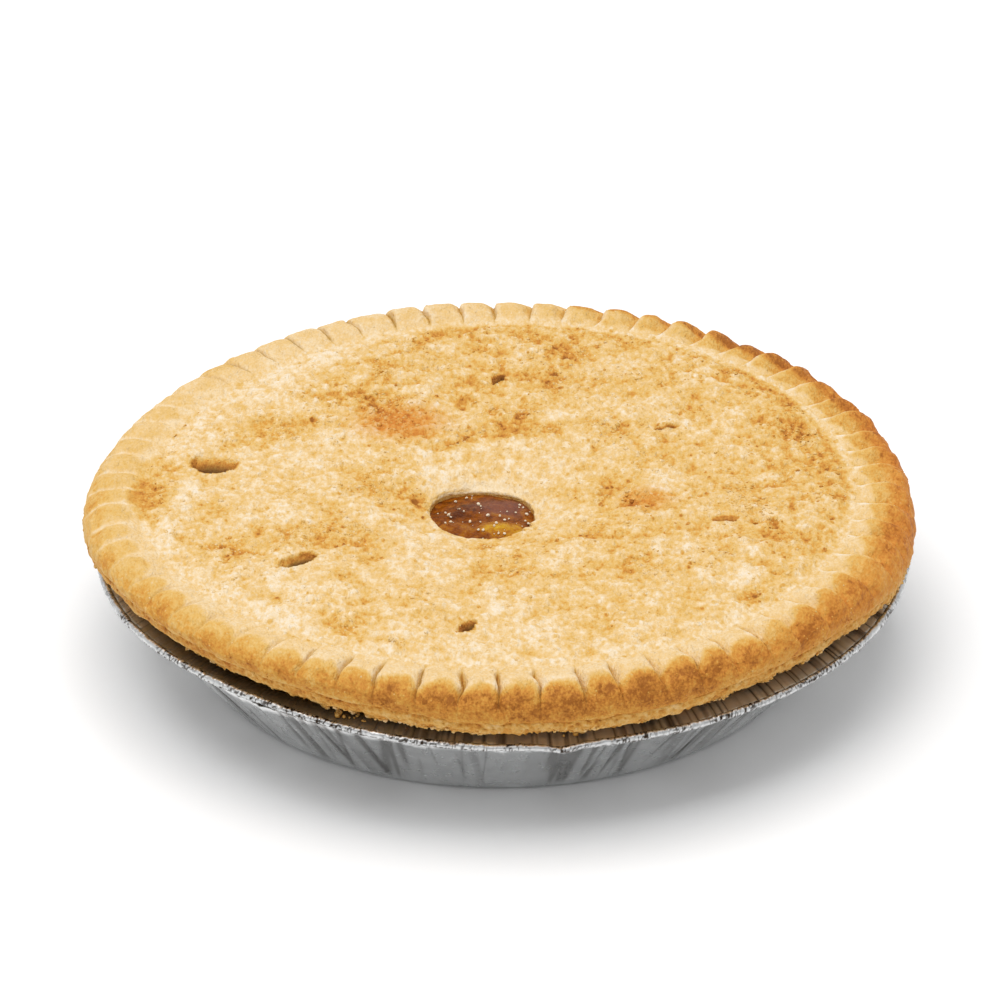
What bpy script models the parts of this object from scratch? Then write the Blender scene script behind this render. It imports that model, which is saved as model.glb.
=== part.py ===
"""A baked peach pie, double crusted, standing in its own foil tin.

The pie stands on the tin's flat base, with the origin at the middle of that base and +Z up.
Everything is in metres. Run it with: blender --background --python part.py
"""

import math
import random

import bmesh
import bpy

MM = 0.001
SHARP_ANGLE = math.radians(35)

# Foil tin: a shallow round pan with a sloping side, a narrow flange and a rolled bead.
BASE_CENTRE_X = 0.2 * MM
RIM_LEAN = 1.0 * MM
TIN_SIDES = 96
TIN_THICKNESS = 0.6 * MM
TIN_BASE_RADIUS = 82.6 * MM
TIN_CORNER_RADIUS = 3.0 * MM
TIN_SIDE_TOP_RADIUS = 103.6 * MM
TIN_SIDE_TOP_HEIGHT = 25.0 * MM
BEAD_RADIUS = 1.2 * MM
BEAD_RING_RADIUS = 109.5 * MM
BEAD_HEIGHT = 28.5 * MM
BEAD_ARC_START = math.radians(-125)
BEAD_ARC_END = math.radians(170)
BEAD_ARC_POINTS = 8

# The rim is bent up a little at the left front, and nicked once at the front.
RIM_BEND_HEIGHT = 2.6 * MM
RIM_BEND_ANGLE = math.radians(-130)
RIM_BEND_SPREAD = math.radians(24)
NICK_ANGLE = math.radians(-82)
NICK_DEPTH = 1.2 * MM
NICK_SPREAD = math.radians(2.2)

# Crust: lid, bottom crust and crimped edge are baked into one piece.
CLEARANCE = 0.3 * MM
CRUST_CENTRE_X = -0.6 * MM
CRIMPS = 64
POINTS_PER_CRIMP = 4
EDGE_SIDES = CRIMPS * POINTS_PER_CRIMP
LID_SIDES = EDGE_SIDES // 2
HOLE_SIDES = EDGE_SIDES // 4
FIRST_GROOVE_ANGLE = math.radians(-89.6)
GROOVE_JITTER = 0.09
CRIMP_HEIGHT_JITTER = 0.45 * MM
CRIMP_REACH_JITTER = 0.35 * MM
DEEPEST_GROOVE = 2.5 * MM
POINT_SHARES = (0.0, 0.18, 0.5, 0.82)
PILLOW = (0.0, 0.86, 1.0, 0.86)
EDGE_TILT = 0.6 * MM
HIGH_SIDE_ANGLE = math.radians(60)
SEED = 7

# The edge is no true circle. Each row: angle, spread, how far it reaches out, and how far it lifts.
EDGE_SWELLS = (
    (math.radians(155), math.radians(26), -2.4 * MM, -0.9 * MM),
    (math.radians(58), math.radians(28), 0.7 * MM, 1.2 * MM),
    (math.radians(-125), math.radians(26), 0.0, 0.9 * MM),
)

# The crimped edge in section, from the valley inside it to where the rounded face ends.
# Each row is the radius and height on a crimp's ridge, then in the groove beside it.
EDGE_SECTION = (
    (96.0 * MM, 44.9 * MM, 96.0 * MM, 44.9 * MM),
    (98.6 * MM, 45.5 * MM, 98.6 * MM, 45.2 * MM),
    (101.8 * MM, 46.4 * MM, 101.8 * MM, 44.8 * MM),
    (105.0 * MM, 46.8 * MM, 104.9 * MM, 44.3 * MM),
    (108.2 * MM, 46.0 * MM, 107.7 * MM, 44.1 * MM),
    (111.0 * MM, 43.9 * MM, 110.6 * MM, 43.0 * MM),
    (112.7 * MM, 41.0 * MM, 112.5 * MM, 40.7 * MM),
)
# Below the rounded face: widest line, top of the pale cut band, and its lower edge.
OUTER_SECTION = (
    (113.3 * MM, 37.2 * MM),
    (112.2 * MM, 34.8 * MM),
    (110.2 * MM, 33.2 * MM),
    (107.8 * MM, 32.2 * MM),
    (104.6 * MM, 30.0 * MM),
)
UNDERSIDE_SHARE = 0.5
RAGGED_ROWS = (2, 3)
RAGGED_JITTER = 0.3 * MM
TOUCH_HEIGHT = 23.5 * MM

# Lid: almost level, sinking towards the round steam hole, with soft rises and dips.
LID_RINGS = (20.0 * MM, 29.0 * MM, 40.0 * MM, 52.0 * MM, 64.0 * MM, 75.0 * MM, 85.0 * MM, 92.0 * MM)
LID_HEIGHT = 45.2 * MM
LID_DIP = 4.0 * MM
LID_DIP_REACH = 16.0 * MM
LID_WAVES = (
    (0.45 * MM, 23 * MM, 31 * MM, 0.6),
    (0.35 * MM, -17 * MM, 21 * MM, 2.1),
    (0.25 * MM, 13 * MM, -15 * MM, 4.0),
)
LID_WAVE_LIMIT = 93.0 * MM

# Steam hole, with the filling standing in it down to the bottom crust.
HOLE_X = -4.0 * MM
HOLE_Y = -7.2 * MM
HOLE_RADIUS = 14.1 * MM
HOLE_EDGE_ROUND = 0.9 * MM
HOLE_WOBBLE = 0.4 * MM
HOLE_BULGES = 3
BOTTOM_CRUST = 4.0 * MM
FILLING_HEIGHT = 38.7 * MM
FILLING_SIDES = 48
FILLING_RINGS = (0.3, 0.6, 0.85, 1.0)
FILLING_LUMP = 0.8 * MM
# Each wave of the filling's surface: its share, its turns along X and Y over the hole, and its start.
FILLING_WAVES = ((1.0, 2.6, 1.1, 2.1), (0.5, -1.3, 2.2, 0.0))

# Small steam vents pressed and torn in the lid: x, y, length, width, depth and turn.
VENTS = (
    (-78.2 * MM, 13.2 * MM, 13.0 * MM, 7.6 * MM, 3.2 * MM, math.radians(-3)),
    (-53.4 * MM, -40.6 * MM, 11.5 * MM, 3.6 * MM, 2.4 * MM, math.radians(50)),
    (-8.4 * MM, -74.6 * MM, 7.0 * MM, 2.8 * MM, 2.4 * MM, math.radians(64)),
    (-0.4 * MM, 63.4 * MM, 6.0 * MM, 2.6 * MM, 1.8 * MM, math.radians(70)),
    (60.6 * MM, -17.4 * MM, 12.4 * MM, 3.0 * MM, 2.0 * MM, math.radians(6)),
    (46.4 * MM, 33.1 * MM, 7.0 * MM, 2.4 * MM, 1.6 * MM, math.radians(20)),
)
VENT_SEGMENTS = 14
VENT_RINGS = 8
VENT_LIFT = 0.25


def clear_scene():
    """Remove every object that is there."""
    for old in list(bpy.data.objects):
        bpy.data.objects.remove(old, do_unlink=True)


def make_material(name, colour, roughness, metallic=0.0):
    """A Principled BSDF with one colour."""
    material = bpy.data.materials.new(name)
    material.use_nodes = True
    shader = material.node_tree.nodes["Principled BSDF"]
    shader.inputs["Base Color"].default_value = (*colour, 1.0)
    shader.inputs["Roughness"].default_value = roughness
    shader.inputs["Metallic"].default_value = metallic
    return material


def angle_apart(a, b):
    """The signed turn from b to a, between minus and plus half a turn."""
    return (a - b + math.pi) % math.tau - math.pi


def rim_bend(angle):
    """How far the tin's bead is lifted at this angle."""
    return RIM_BEND_HEIGHT * math.exp(-((angle_apart(angle, RIM_BEND_ANGLE) / RIM_BEND_SPREAD) ** 2))


def nick(angle):
    """How far the bead is pressed down at this angle."""
    return NICK_DEPTH * math.exp(-((angle_apart(angle, NICK_ANGLE) / NICK_SPREAD) ** 2))


def edge_swell(angle):
    """How far the edge reaches out of a true circle at this angle, and how far it lifts."""
    reach = 0.0
    lift = EDGE_TILT * math.cos(angle - HIGH_SIDE_ANGLE)
    for middle, spread, out, up in EDGE_SWELLS:
        share = math.exp(-((angle_apart(angle, middle) / spread) ** 2))
        reach += out * share
        lift += up * share
    return reach, lift


def tin_centre(height):
    """Where the tin's middle is at this height, as its side leans a little to the right."""
    return BASE_CENTRE_X + RIM_LEAN * min(1.0, height / TIN_SIDE_TOP_HEIGHT)


def lid_height(x, y):
    """Height of the lid's surface at a place."""
    radius = math.hypot(x - CRUST_CENTRE_X, y)
    from_hole = max(0.0, math.hypot(x - HOLE_X, y - HOLE_Y) - HOLE_RADIUS)
    height = LID_HEIGHT - LID_DIP * math.exp(-from_hole / LID_DIP_REACH)
    fade = max(0.0, 1.0 - (radius / LID_WAVE_LIMIT) ** 4)
    for size, length_x, length_y, phase in LID_WAVES:
        height += size * fade * math.sin(x / length_x + y / length_y + phase)
    return height


def circle_angles(sides):
    """Evenly spaced angles, starting at the front."""
    return [FIRST_GROOVE_ANGLE + math.tau * i / sides for i in range(sides)]


def crimp_angles(rng):
    """The angle of every point of the edge, four to a crimp, with uneven crimps."""
    step = math.tau / CRIMPS
    grooves = [
        FIRST_GROOVE_ANGLE + step * (i + rng.uniform(-GROOVE_JITTER, GROOVE_JITTER))
        for i in range(CRIMPS)
    ]
    angles = []
    for i, start in enumerate(grooves):
        end = grooves[i + 1] if i + 1 < CRIMPS else grooves[0] + math.tau
        for j in range(POINTS_PER_CRIMP):
            angles.append(start + (end - start) * POINT_SHARES[j])
    return angles


def add_ring(bm, points):
    """New vertices at the points, in order."""
    return [bm.verts.new(point) for point in points]


def join_rings(bm, first, second):
    """Faces between two closed rings, one of which may have twice the other's points."""
    if len(first) == len(second):
        for i in range(len(first)):
            j = (i + 1) % len(first)
            bm.faces.new((first[i], first[j], second[j], second[i]))
        return
    coarse, fine = (first, second) if len(first) < len(second) else (second, first)
    for i in range(len(coarse)):
        j = (i + 1) % len(coarse)
        left, middle, right = fine[2 * i], fine[2 * i + 1], fine[2 * j]
        bm.faces.new((coarse[i], left, middle))
        bm.faces.new((coarse[i], middle, coarse[j]))
        bm.faces.new((coarse[j], middle, right))


def close_ring(bm, ring, point):
    """A fan of triangles from the ring to one point."""
    tip = bm.verts.new(point)
    for i in range(len(ring)):
        bm.faces.new((ring[i], ring[(i + 1) % len(ring)], tip))


def lofted_object(name, rings, start, end, material):
    """A closed solid through the rings, with a tip at each end."""
    bm = bmesh.new()
    made = [add_ring(bm, ring) for ring in rings]
    close_ring(bm, made[0], start)
    for first, second in zip(made, made[1:]):
        join_rings(bm, first, second)
    close_ring(bm, made[-1], end)
    bmesh.ops.recalc_face_normals(bm, faces=bm.faces)
    mesh = bpy.data.meshes.new(name)
    bm.to_mesh(mesh)
    bm.free()
    mesh.shade_smooth()
    mesh.set_sharp_from_angle(angle=SHARP_ANGLE)
    mesh.materials.append(material)
    made_object = bpy.data.objects.new(name, mesh)
    bpy.context.scene.collection.objects.link(made_object)
    return made_object


def round_ring(centre_x, centre_y, radius, height, sides):
    """A level ring of points."""
    return [
        (centre_x + radius * math.cos(a), centre_y + radius * math.sin(a), height)
        for a in circle_angles(sides)
    ]


def side_slope():
    """The turn of the tin's side from level."""
    return math.atan2(TIN_SIDE_TOP_HEIGHT, TIN_SIDE_TOP_RADIUS - TIN_BASE_RADIUS)


def tin_corner(inset):
    """Section points of the rounded corner between base and side, moved in by the inset."""
    slope = side_slope()
    centre_radius = TIN_BASE_RADIUS - TIN_CORNER_RADIUS * math.tan(slope / 2)
    radius = TIN_CORNER_RADIUS - inset
    points = []
    for turn in (0.0, slope / 2, slope):
        out = radius * math.sin(turn)
        down = radius * math.cos(turn)
        points.append((centre_radius + out, TIN_CORNER_RADIUS - down))
    return points


def side_point(height, inset):
    """The point of the tin's side at this height, moved in by the inset."""
    slope = side_slope()
    along = (height - inset * math.cos(slope)) / math.sin(slope)
    return (TIN_BASE_RADIUS - inset * math.sin(slope) + along * math.cos(slope), height)


def bead_points():
    """Section points round the rolled bead, from under the flange to above it."""
    span = BEAD_ARC_END - BEAD_ARC_START
    points = []
    for i in range(BEAD_ARC_POINTS):
        turn = BEAD_ARC_START + span * i / (BEAD_ARC_POINTS - 1)
        out = BEAD_RADIUS * math.cos(turn)
        up = BEAD_RADIUS * math.sin(turn)
        points.append((BEAD_RING_RADIUS + out, BEAD_HEIGHT + up))
    return points


def tin_section():
    """The tin's whole section: radius, height, and how much of the rim's bend it takes."""
    outside = [(r, z, 0.0) for r, z in tin_corner(0.0)]
    outside.append((TIN_SIDE_TOP_RADIUS, TIN_SIDE_TOP_HEIGHT, 0.0))
    bead = [(r, z, 1.0) for r, z in bead_points()]
    inner_top = side_point(TIN_SIDE_TOP_HEIGHT + TIN_THICKNESS, TIN_THICKNESS)
    inside = [(*inner_top, 0.0)]
    inside += [(r, z, 0.0) for r, z in reversed(tin_corner(TIN_THICKNESS))]
    return outside + bead + inside


def make_tin(material):
    """The foil tin as one thin shell."""
    rings = []
    for radius, height, share in tin_section():
        ring = []
        for angle in circle_angles(TIN_SIDES):
            lift = share * (rim_bend(angle) - nick(angle))
            x = tin_centre(height) + radius * math.cos(angle)
            ring.append((x, radius * math.sin(angle), height + lift))
        rings.append(ring)
    under = (BASE_CENTRE_X, 0.0, 0.0)
    above = (BASE_CENTRE_X, 0.0, TIN_THICKNESS)
    return lofted_object("tin", rings, under, above, material)


def hole_ring(radius, below_lid):
    """A ring round the steam hole that follows the lid, less a depth."""
    ring = []
    for angle in circle_angles(HOLE_SIDES):
        wobble = HOLE_WOBBLE * math.sin(HOLE_BULGES * angle / 2) ** 2
        x = HOLE_X + (radius + wobble) * math.cos(angle)
        y = HOLE_Y + (radius + wobble) * math.sin(angle)
        ring.append((x, y, lid_height(x, y) - below_lid))
    return ring


def lid_ring(radius):
    """A ring of the lid. The inner ones stand round the hole, the outer ones round the pie."""
    share = (radius - HOLE_RADIUS) / (EDGE_SECTION[0][0] - HOLE_RADIUS)
    centre_x = HOLE_X + (CRUST_CENTRE_X - HOLE_X) * share
    centre_y = HOLE_Y * (1.0 - share)
    ring = []
    for angle in circle_angles(LID_SIDES):
        reach, lift = edge_swell(angle)
        out = radius + reach * share
        x = centre_x + out * math.cos(angle)
        y = centre_y + out * math.sin(angle)
        ring.append((x, y, lid_height(x, y) + lift * share))
    return ring


def edge_rings():
    """The rings of the crimped edge, from the valley outwards and down to the widest line."""
    rng = random.Random(SEED)
    angles = crimp_angles(rng)
    heights = [rng.uniform(-CRIMP_HEIGHT_JITTER, CRIMP_HEIGHT_JITTER) for _ in range(CRIMPS)]
    reaches = [rng.uniform(-CRIMP_REACH_JITTER, CRIMP_REACH_JITTER) for _ in range(CRIMPS)]
    rings = []
    for ridge_radius, ridge_height, groove_radius, groove_height in EDGE_SECTION:
        share = (ridge_height - groove_height) / DEEPEST_GROOVE
        ring = []
        for i, angle in enumerate(angles):
            crimp = i // POINTS_PER_CRIMP
            pillow = PILLOW[i % POINTS_PER_CRIMP]
            out = ridge_radius - groove_radius + share * reaches[crimp]
            up = ridge_height - groove_height + share * heights[crimp]
            radius = groove_radius + pillow * out
            height = groove_height + pillow * up
            reach, lift = edge_swell(angle)
            x = CRUST_CENTRE_X + (radius + reach) * math.cos(angle)
            y = (radius + reach) * math.sin(angle)
            ring.append((x, y, height + lift))
        rings.append(ring)
    return rings


def outer_rings():
    """The rings from the widest line, over the pale cut band, to the underside."""
    rng = random.Random(SEED + 1)
    rings = []
    for row, (radius, height) in enumerate(OUTER_SECTION):
        rough = RAGGED_JITTER if row in RAGGED_ROWS else 0.0
        share = UNDERSIDE_SHARE if row == len(OUTER_SECTION) - 1 else 1.0
        ring = []
        for angle in circle_angles(LID_SIDES):
            reach, lift = edge_swell(angle)
            out = radius + reach * share + rng.uniform(-rough, rough)
            up = height + lift * share + rng.uniform(-rough, rough)
            ring.append((CRUST_CENTRE_X + out * math.cos(angle), out * math.sin(angle), up))
        rings.append(ring)
    return rings


def seated_rings():
    """The part of the crust that sits against the tin's side and base."""
    gap = TIN_THICKNESS + CLEARANCE
    top_radius, top_height = side_point(TOUCH_HEIGHT, gap)
    rings = [round_ring(tin_centre(top_height), 0.0, top_radius, top_height, LID_SIDES)]
    for radius, height in reversed(tin_corner(gap)):
        rings.append(round_ring(tin_centre(height), 0.0, radius, height, HOLE_SIDES))
    return rings


def make_crust(material):
    """Lid, crimped edge and bottom crust, with the round well of the steam hole."""
    well_top = hole_ring(HOLE_RADIUS, HOLE_EDGE_ROUND)
    well_foot = [(x, y, BOTTOM_CRUST) for x, y, _ in well_top]
    lip = hole_ring(HOLE_RADIUS + HOLE_EDGE_ROUND, 0.0)
    rings = [well_foot, well_top, lip]
    rings += [lid_ring(radius) for radius in LID_RINGS]
    rings += edge_rings() + outer_rings() + seated_rings()
    well_floor = (HOLE_X, HOLE_Y, BOTTOM_CRUST)
    base = (BASE_CENTRE_X, 0.0, TIN_THICKNESS + CLEARANCE)
    crust = lofted_object("crust", rings, well_floor, base, material)
    for number, vent in enumerate(VENTS, start=1):
        cut_vent(crust, number, *vent)
    return crust


def cut_vent(crust, number, x, y, length, width, depth, turn):
    """Take a torn steam vent out of the lid with a flat ellipsoid."""
    lift = depth * VENT_LIFT
    bpy.ops.mesh.primitive_uv_sphere_add(
        segments=VENT_SEGMENTS,
        ring_count=VENT_RINGS,
        radius=1.0,
        location=(x, y, lid_height(x, y) + lift),
        rotation=(0.0, 0.0, turn),
    )
    cutter = bpy.context.object
    cutter.name = f"vent_cutter_{number}"
    cutter.scale = (length / 2, width / 2, depth + lift)
    cutter.hide_render = True
    cutter.display_type = "WIRE"
    modifier = crust.modifiers.new(f"Vent {number}", "BOOLEAN")
    modifier.operation = "DIFFERENCE"
    modifier.solver = "EXACT"
    modifier.object = cutter


def filling_height(x, y):
    """Height of the filling's lumpy surface, where two peach slices lie side by side."""
    across = (x - HOLE_X) / HOLE_RADIUS
    along = (y - HOLE_Y) / HOLE_RADIUS
    height = FILLING_HEIGHT
    for share, turns_x, turns_y, start in FILLING_WAVES:
        height += FILLING_LUMP * share * math.sin(turns_x * across + turns_y * along + start)
    return height


def make_filling(material):
    """The peach filling that shows in the steam hole and runs down to the bottom crust."""
    radius = HOLE_RADIUS - CLEARANCE
    rings = []
    for share in FILLING_RINGS:
        level = round_ring(HOLE_X, HOLE_Y, radius * share, 0.0, FILLING_SIDES)
        rings.append([(x, y, filling_height(x, y)) for x, y, _ in level])
    foot = BOTTOM_CRUST + CLEARANCE
    rings.append(round_ring(HOLE_X, HOLE_Y, radius, foot, FILLING_SIDES))
    top = (HOLE_X, HOLE_Y, filling_height(HOLE_X, HOLE_Y))
    return lofted_object("filling", rings, top, (HOLE_X, HOLE_Y, foot), material)


def main():
    """Build the pie in its tin."""
    clear_scene()
    foil = make_material("Foil", (0.78, 0.79, 0.80), 0.28, metallic=1.0)
    pastry = make_material("Baked pastry", (0.72, 0.42, 0.15), 0.75)
    peach = make_material("Peach filling", (0.36, 0.13, 0.02), 0.2)
    make_tin(foil)
    make_crust(pastry)
    make_filling(peach)


main()
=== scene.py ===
"""Looks of a baked peach pie in its own foil tin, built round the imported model.

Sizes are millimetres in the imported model's frame: +Z is up from the tin's base and -Y
is the side nearest the camera. Only the finished meshes are written in metres.
"""

from __future__ import annotations

import logging
import math
import random
from dataclasses import dataclass, field
from enum import Enum
from itertools import product

import bpy
import numpy as np
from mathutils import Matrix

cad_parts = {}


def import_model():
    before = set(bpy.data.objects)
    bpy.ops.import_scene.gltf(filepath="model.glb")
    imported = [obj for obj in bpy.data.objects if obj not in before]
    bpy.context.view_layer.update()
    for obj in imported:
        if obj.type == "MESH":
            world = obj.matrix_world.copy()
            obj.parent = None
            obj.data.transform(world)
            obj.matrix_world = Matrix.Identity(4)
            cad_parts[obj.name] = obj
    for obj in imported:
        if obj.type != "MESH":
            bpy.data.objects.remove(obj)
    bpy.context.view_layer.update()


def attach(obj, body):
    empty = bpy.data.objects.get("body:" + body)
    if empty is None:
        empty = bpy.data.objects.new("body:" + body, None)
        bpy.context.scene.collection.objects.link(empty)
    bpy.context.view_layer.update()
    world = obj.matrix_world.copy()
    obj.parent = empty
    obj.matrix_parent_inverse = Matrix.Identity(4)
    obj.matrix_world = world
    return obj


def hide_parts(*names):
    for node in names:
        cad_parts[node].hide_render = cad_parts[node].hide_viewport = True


Array = np.ndarray
Table = tuple[tuple[float, ...], ...]
Section = tuple[tuple[float, float], ...]
Layers = tuple[tuple[float, float, float], ...]
Levels = tuple[int, int, int]
Stops = tuple[tuple[float, Levels], ...]
LOG = logging.getLogger("peach pie")

MM = 0.001
MERGE_GAP = 0.002
HASH_TURNS = np.array((127.1, 311.7, 74.7))
HASH_STEP = 12.9898
HASH_SCALE = 43758.5453


# ---------------------------------------------------------------- small rules


def smooth_rise(low: float, high: float, at: Array) -> Array:
    """Rise softly from 0 at low to 1 at high.

    Args:
        low: Value at which the rise starts.
        high: Value at which it ends.
        at: Where the rise is wanted.

    Returns:
        The share of the rise at each place.
    """
    share = np.clip((np.asarray(at, float) - low) / (high - low), 0.0, 1.0)
    return share * share * (3.0 - 2.0 * share)


def curve_through(values: Array, at: Array) -> Array:
    """Follow a smooth curve that passes through evenly numbered values.

    Args:
        values: The values, one row for each number.
        at: Where the curve is wanted, from 0 to the last number.

    Returns:
        One row of the curve for each place.
    """
    last = len(values) - 1
    start = np.clip(np.floor(at).astype(int), 0, last - 1)
    t = (at - start)[:, None]
    before, here = values[np.maximum(start - 1, 0)], values[start]
    after, later = values[start + 1], values[np.minimum(start + 2, last)]
    bend = 2 * before - 5 * here + 4 * after - later
    twist = 3 * here - before - 3 * after + later
    return 0.5 * (2 * here + (after - before) * t + bend * t**2 + twist * t**3)


def round_the_pie(table: Table, column: int, angle: Array) -> Array:
    """Read a value that changes round the pie from a table of directions.

    Args:
        table: Rows that start with a direction in degrees.
        column: Which column of the table is read.
        angle: Directions in radians.

    Returns:
        The value in each direction.
    """
    degrees = [row[0] for row in table]
    return np.interp(np.degrees(angle), degrees, [row[column] for row in table], period=360)


def bell(angle: Array, middle: float, spread: float) -> Array:
    """A soft bump round one direction, both given in degrees."""
    apart = (np.degrees(angle) - middle + 180.0) % 360.0 - 180.0
    return np.exp(-((apart / spread) ** 2))


def cell_value(cells: Array, seed: float) -> Array:
    """A random value from 0 to 1 for each cell of a lattice."""
    mixed = np.sin(cells @ HASH_TURNS + seed * HASH_STEP) * HASH_SCALE
    return mixed - np.floor(mixed)


def lumps(points: Array, size: float, seed: float) -> Array:
    """Soft random lumps.

    Args:
        points: Places in mm, in the last axis.
        size: How far apart the lumps are, in mm.
        seed: Picks one pattern of lumps.

    Returns:
        Values from -1 to 1.
    """
    scaled = points / size + 31.7 * seed
    cell = np.floor(scaled)
    part = scaled - cell
    part = part * part * (3.0 - 2.0 * part)
    total = np.zeros(points.shape[:-1])
    for corner in product((0.0, 1.0), repeat=3):
        nearness = np.prod(np.where(np.array(corner) > 0, part, 1.0 - part), axis=-1)
        total += nearness * cell_value(cell + corner, seed)
    return 2.0 * total - 1.0


def layers(points: Array, rows: Layers, start: Array | float = 0.0) -> Array:
    """Put lumps of several sizes on one another.

    Args:
        points: Places in mm, in the last axis.
        rows: A height, a size in mm and a seed for each pattern of lumps.
        start: What the lumps are added to.

    Returns:
        The start with all lumps added.
    """
    for height, size, seed in rows:
        start = start + height * lumps(points, size, seed)
    return start


def grains(points: Array, size: float, seed: float) -> Array:
    """Packed round grains.

    Args:
        points: Places in mm, in the last axis.
        size: How far apart the grains are, in mm.
        seed: Picks one pattern of grains.

    Returns:
        0 at the middle of a grain, about 1 between grains.
    """
    scaled = points / size + 17.3 * seed
    cell = np.floor(scaled)
    nearest = np.full(points.shape[:-1], 9.0)
    for corner in product((-1.0, 0.0, 1.0), repeat=3):
        there = cell + corner
        middle = np.stack([cell_value(there, seed + k) for k in (0.1, 0.2, 0.3)], axis=-1)
        nearest = np.minimum(nearest, np.linalg.norm(there + middle - scaled, axis=-1))
    return nearest


def points_at(x: Array, y: Array | float, z: Array | float) -> Array:
    """Points from their coordinates, which are brought to one shape."""
    return np.stack(np.broadcast_arrays(x, y, z), axis=-1)


def unit(vectors: Array) -> Array:
    """Bring vectors to length 1."""
    return vectors / np.maximum(np.linalg.norm(vectors, axis=-1, keepdims=True), 1e-9)


def turned(
    x: Array, y: Array, middle: tuple[float, float], degrees: float
) -> tuple[Array, Array]:
    """Measure places from a middle, along axes that are turned round it.

    Args:
        x: The places' first coordinate.
        y: Their second coordinate.
        middle: Where the turned axes start.
        degrees: How far they are turned.

    Returns:
        Both coordinates along the turned axes.
    """
    turn = math.radians(degrees)
    right, back = x - middle[0], y - middle[1]
    u = right * math.cos(turn) + back * math.sin(turn)
    v = back * math.cos(turn) - right * math.sin(turn)
    return u, v


# ---------------------------------------------------------------- meshes


def deselect_all() -> None:
    """Leave object mode with nothing selected."""
    if bpy.context.mode != "OBJECT":
        bpy.ops.object.mode_set(mode="OBJECT")
    bpy.ops.object.select_all(action="DESELECT")


def set_mark(mesh: bpy.types.Mesh, name: str, values: Array) -> None:
    """Store one number for each point of a mesh under a name."""
    mark = mesh.attributes.new(name, "FLOAT", "POINT")
    mark.data.foreach_set("value", np.ascontiguousarray(values, np.float32).ravel())


@dataclass
class Sheet:
    """A grid sheet that is rolled round the pie and closed into one skin.

    The first axis of points runs along the section and the second round the pie.
    thinning gives for each row how many neighbouring points are drawn together.
    """

    name: str
    points: Array
    marks: dict[str, Array] = field(default_factory=dict)
    thinning: Array | None = None

    def normals(self) -> Array:
        """Find the direction in which the sheet faces.

        Returns:
            A unit vector at each point.
        """
        along = np.gradient(self.points, axis=0)
        around = np.roll(self.points, -1, axis=1) - np.roll(self.points, 1, axis=1)
        return unit(np.cross(around, along))

    def thin_out(self, values: Array) -> Array:
        """Draw neighbouring values together in the rows that are thinned.

        Args:
            values: One value or vector for each point.

        Returns:
            The values, equal where points are drawn together.
        """
        if self.thinning is None:
            return values
        column = np.arange(values.shape[1])
        rows = [row[column // step * step] for row, step in zip(values, self.thinning)]
        return np.stack(rows)

    def build(self) -> bpy.types.Object:
        """Roll the sheet up, merge its edges and turn its faces outwards.

        Returns:
            The new object, at the origin, with its marks as attributes.
        """
        rows, columns = self.points.shape[:2]
        deselect_all()
        bpy.ops.mesh.primitive_grid_add(x_subdivisions=columns, y_subdivisions=rows - 1, size=1.0)
        made = bpy.context.object
        made.name = made.data.name = self.name
        closed = [self.thin_out(self.points)]
        closed += [self.thin_out(values) for values in self.marks.values()]
        closed = [np.concatenate([grid, grid[:, :1]], axis=1) for grid in closed]
        made.data.vertices.foreach_set("co", (closed[0] * MM).ravel())
        for name, values in zip(self.marks, closed[1:]):
            set_mark(made.data, name, values)
        bpy.ops.object.mode_set(mode="EDIT")
        bpy.ops.mesh.select_all(action="SELECT")
        bpy.ops.mesh.remove_doubles(threshold=MERGE_GAP * MM)
        bpy.ops.mesh.normals_make_consistent(inside=False)
        bpy.ops.object.mode_set(mode="OBJECT")
        bpy.ops.object.shade_smooth()
        return made


def put_in_frame(
    piece: bpy.types.Object, material: bpy.types.Material, slot: str, *nodes: str
) -> None:
    """Dress a finished piece, attach it to the root and hide the CAD nodes that it replaces.

    Args:
        piece: The piece, at the origin.
        material: Its finish.
        slot: Not used.
        nodes: The CAD nodes that the piece replaces, if any.
    """
    piece.data.materials.clear()
    piece.data.materials.append(material)
    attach(piece, "root")
    if nodes:
        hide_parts(*nodes)
    LOG.info("%s: %d faces", piece.name, len(piece.data.polygons))


# ---------------------------------------------------------------- finishes


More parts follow.
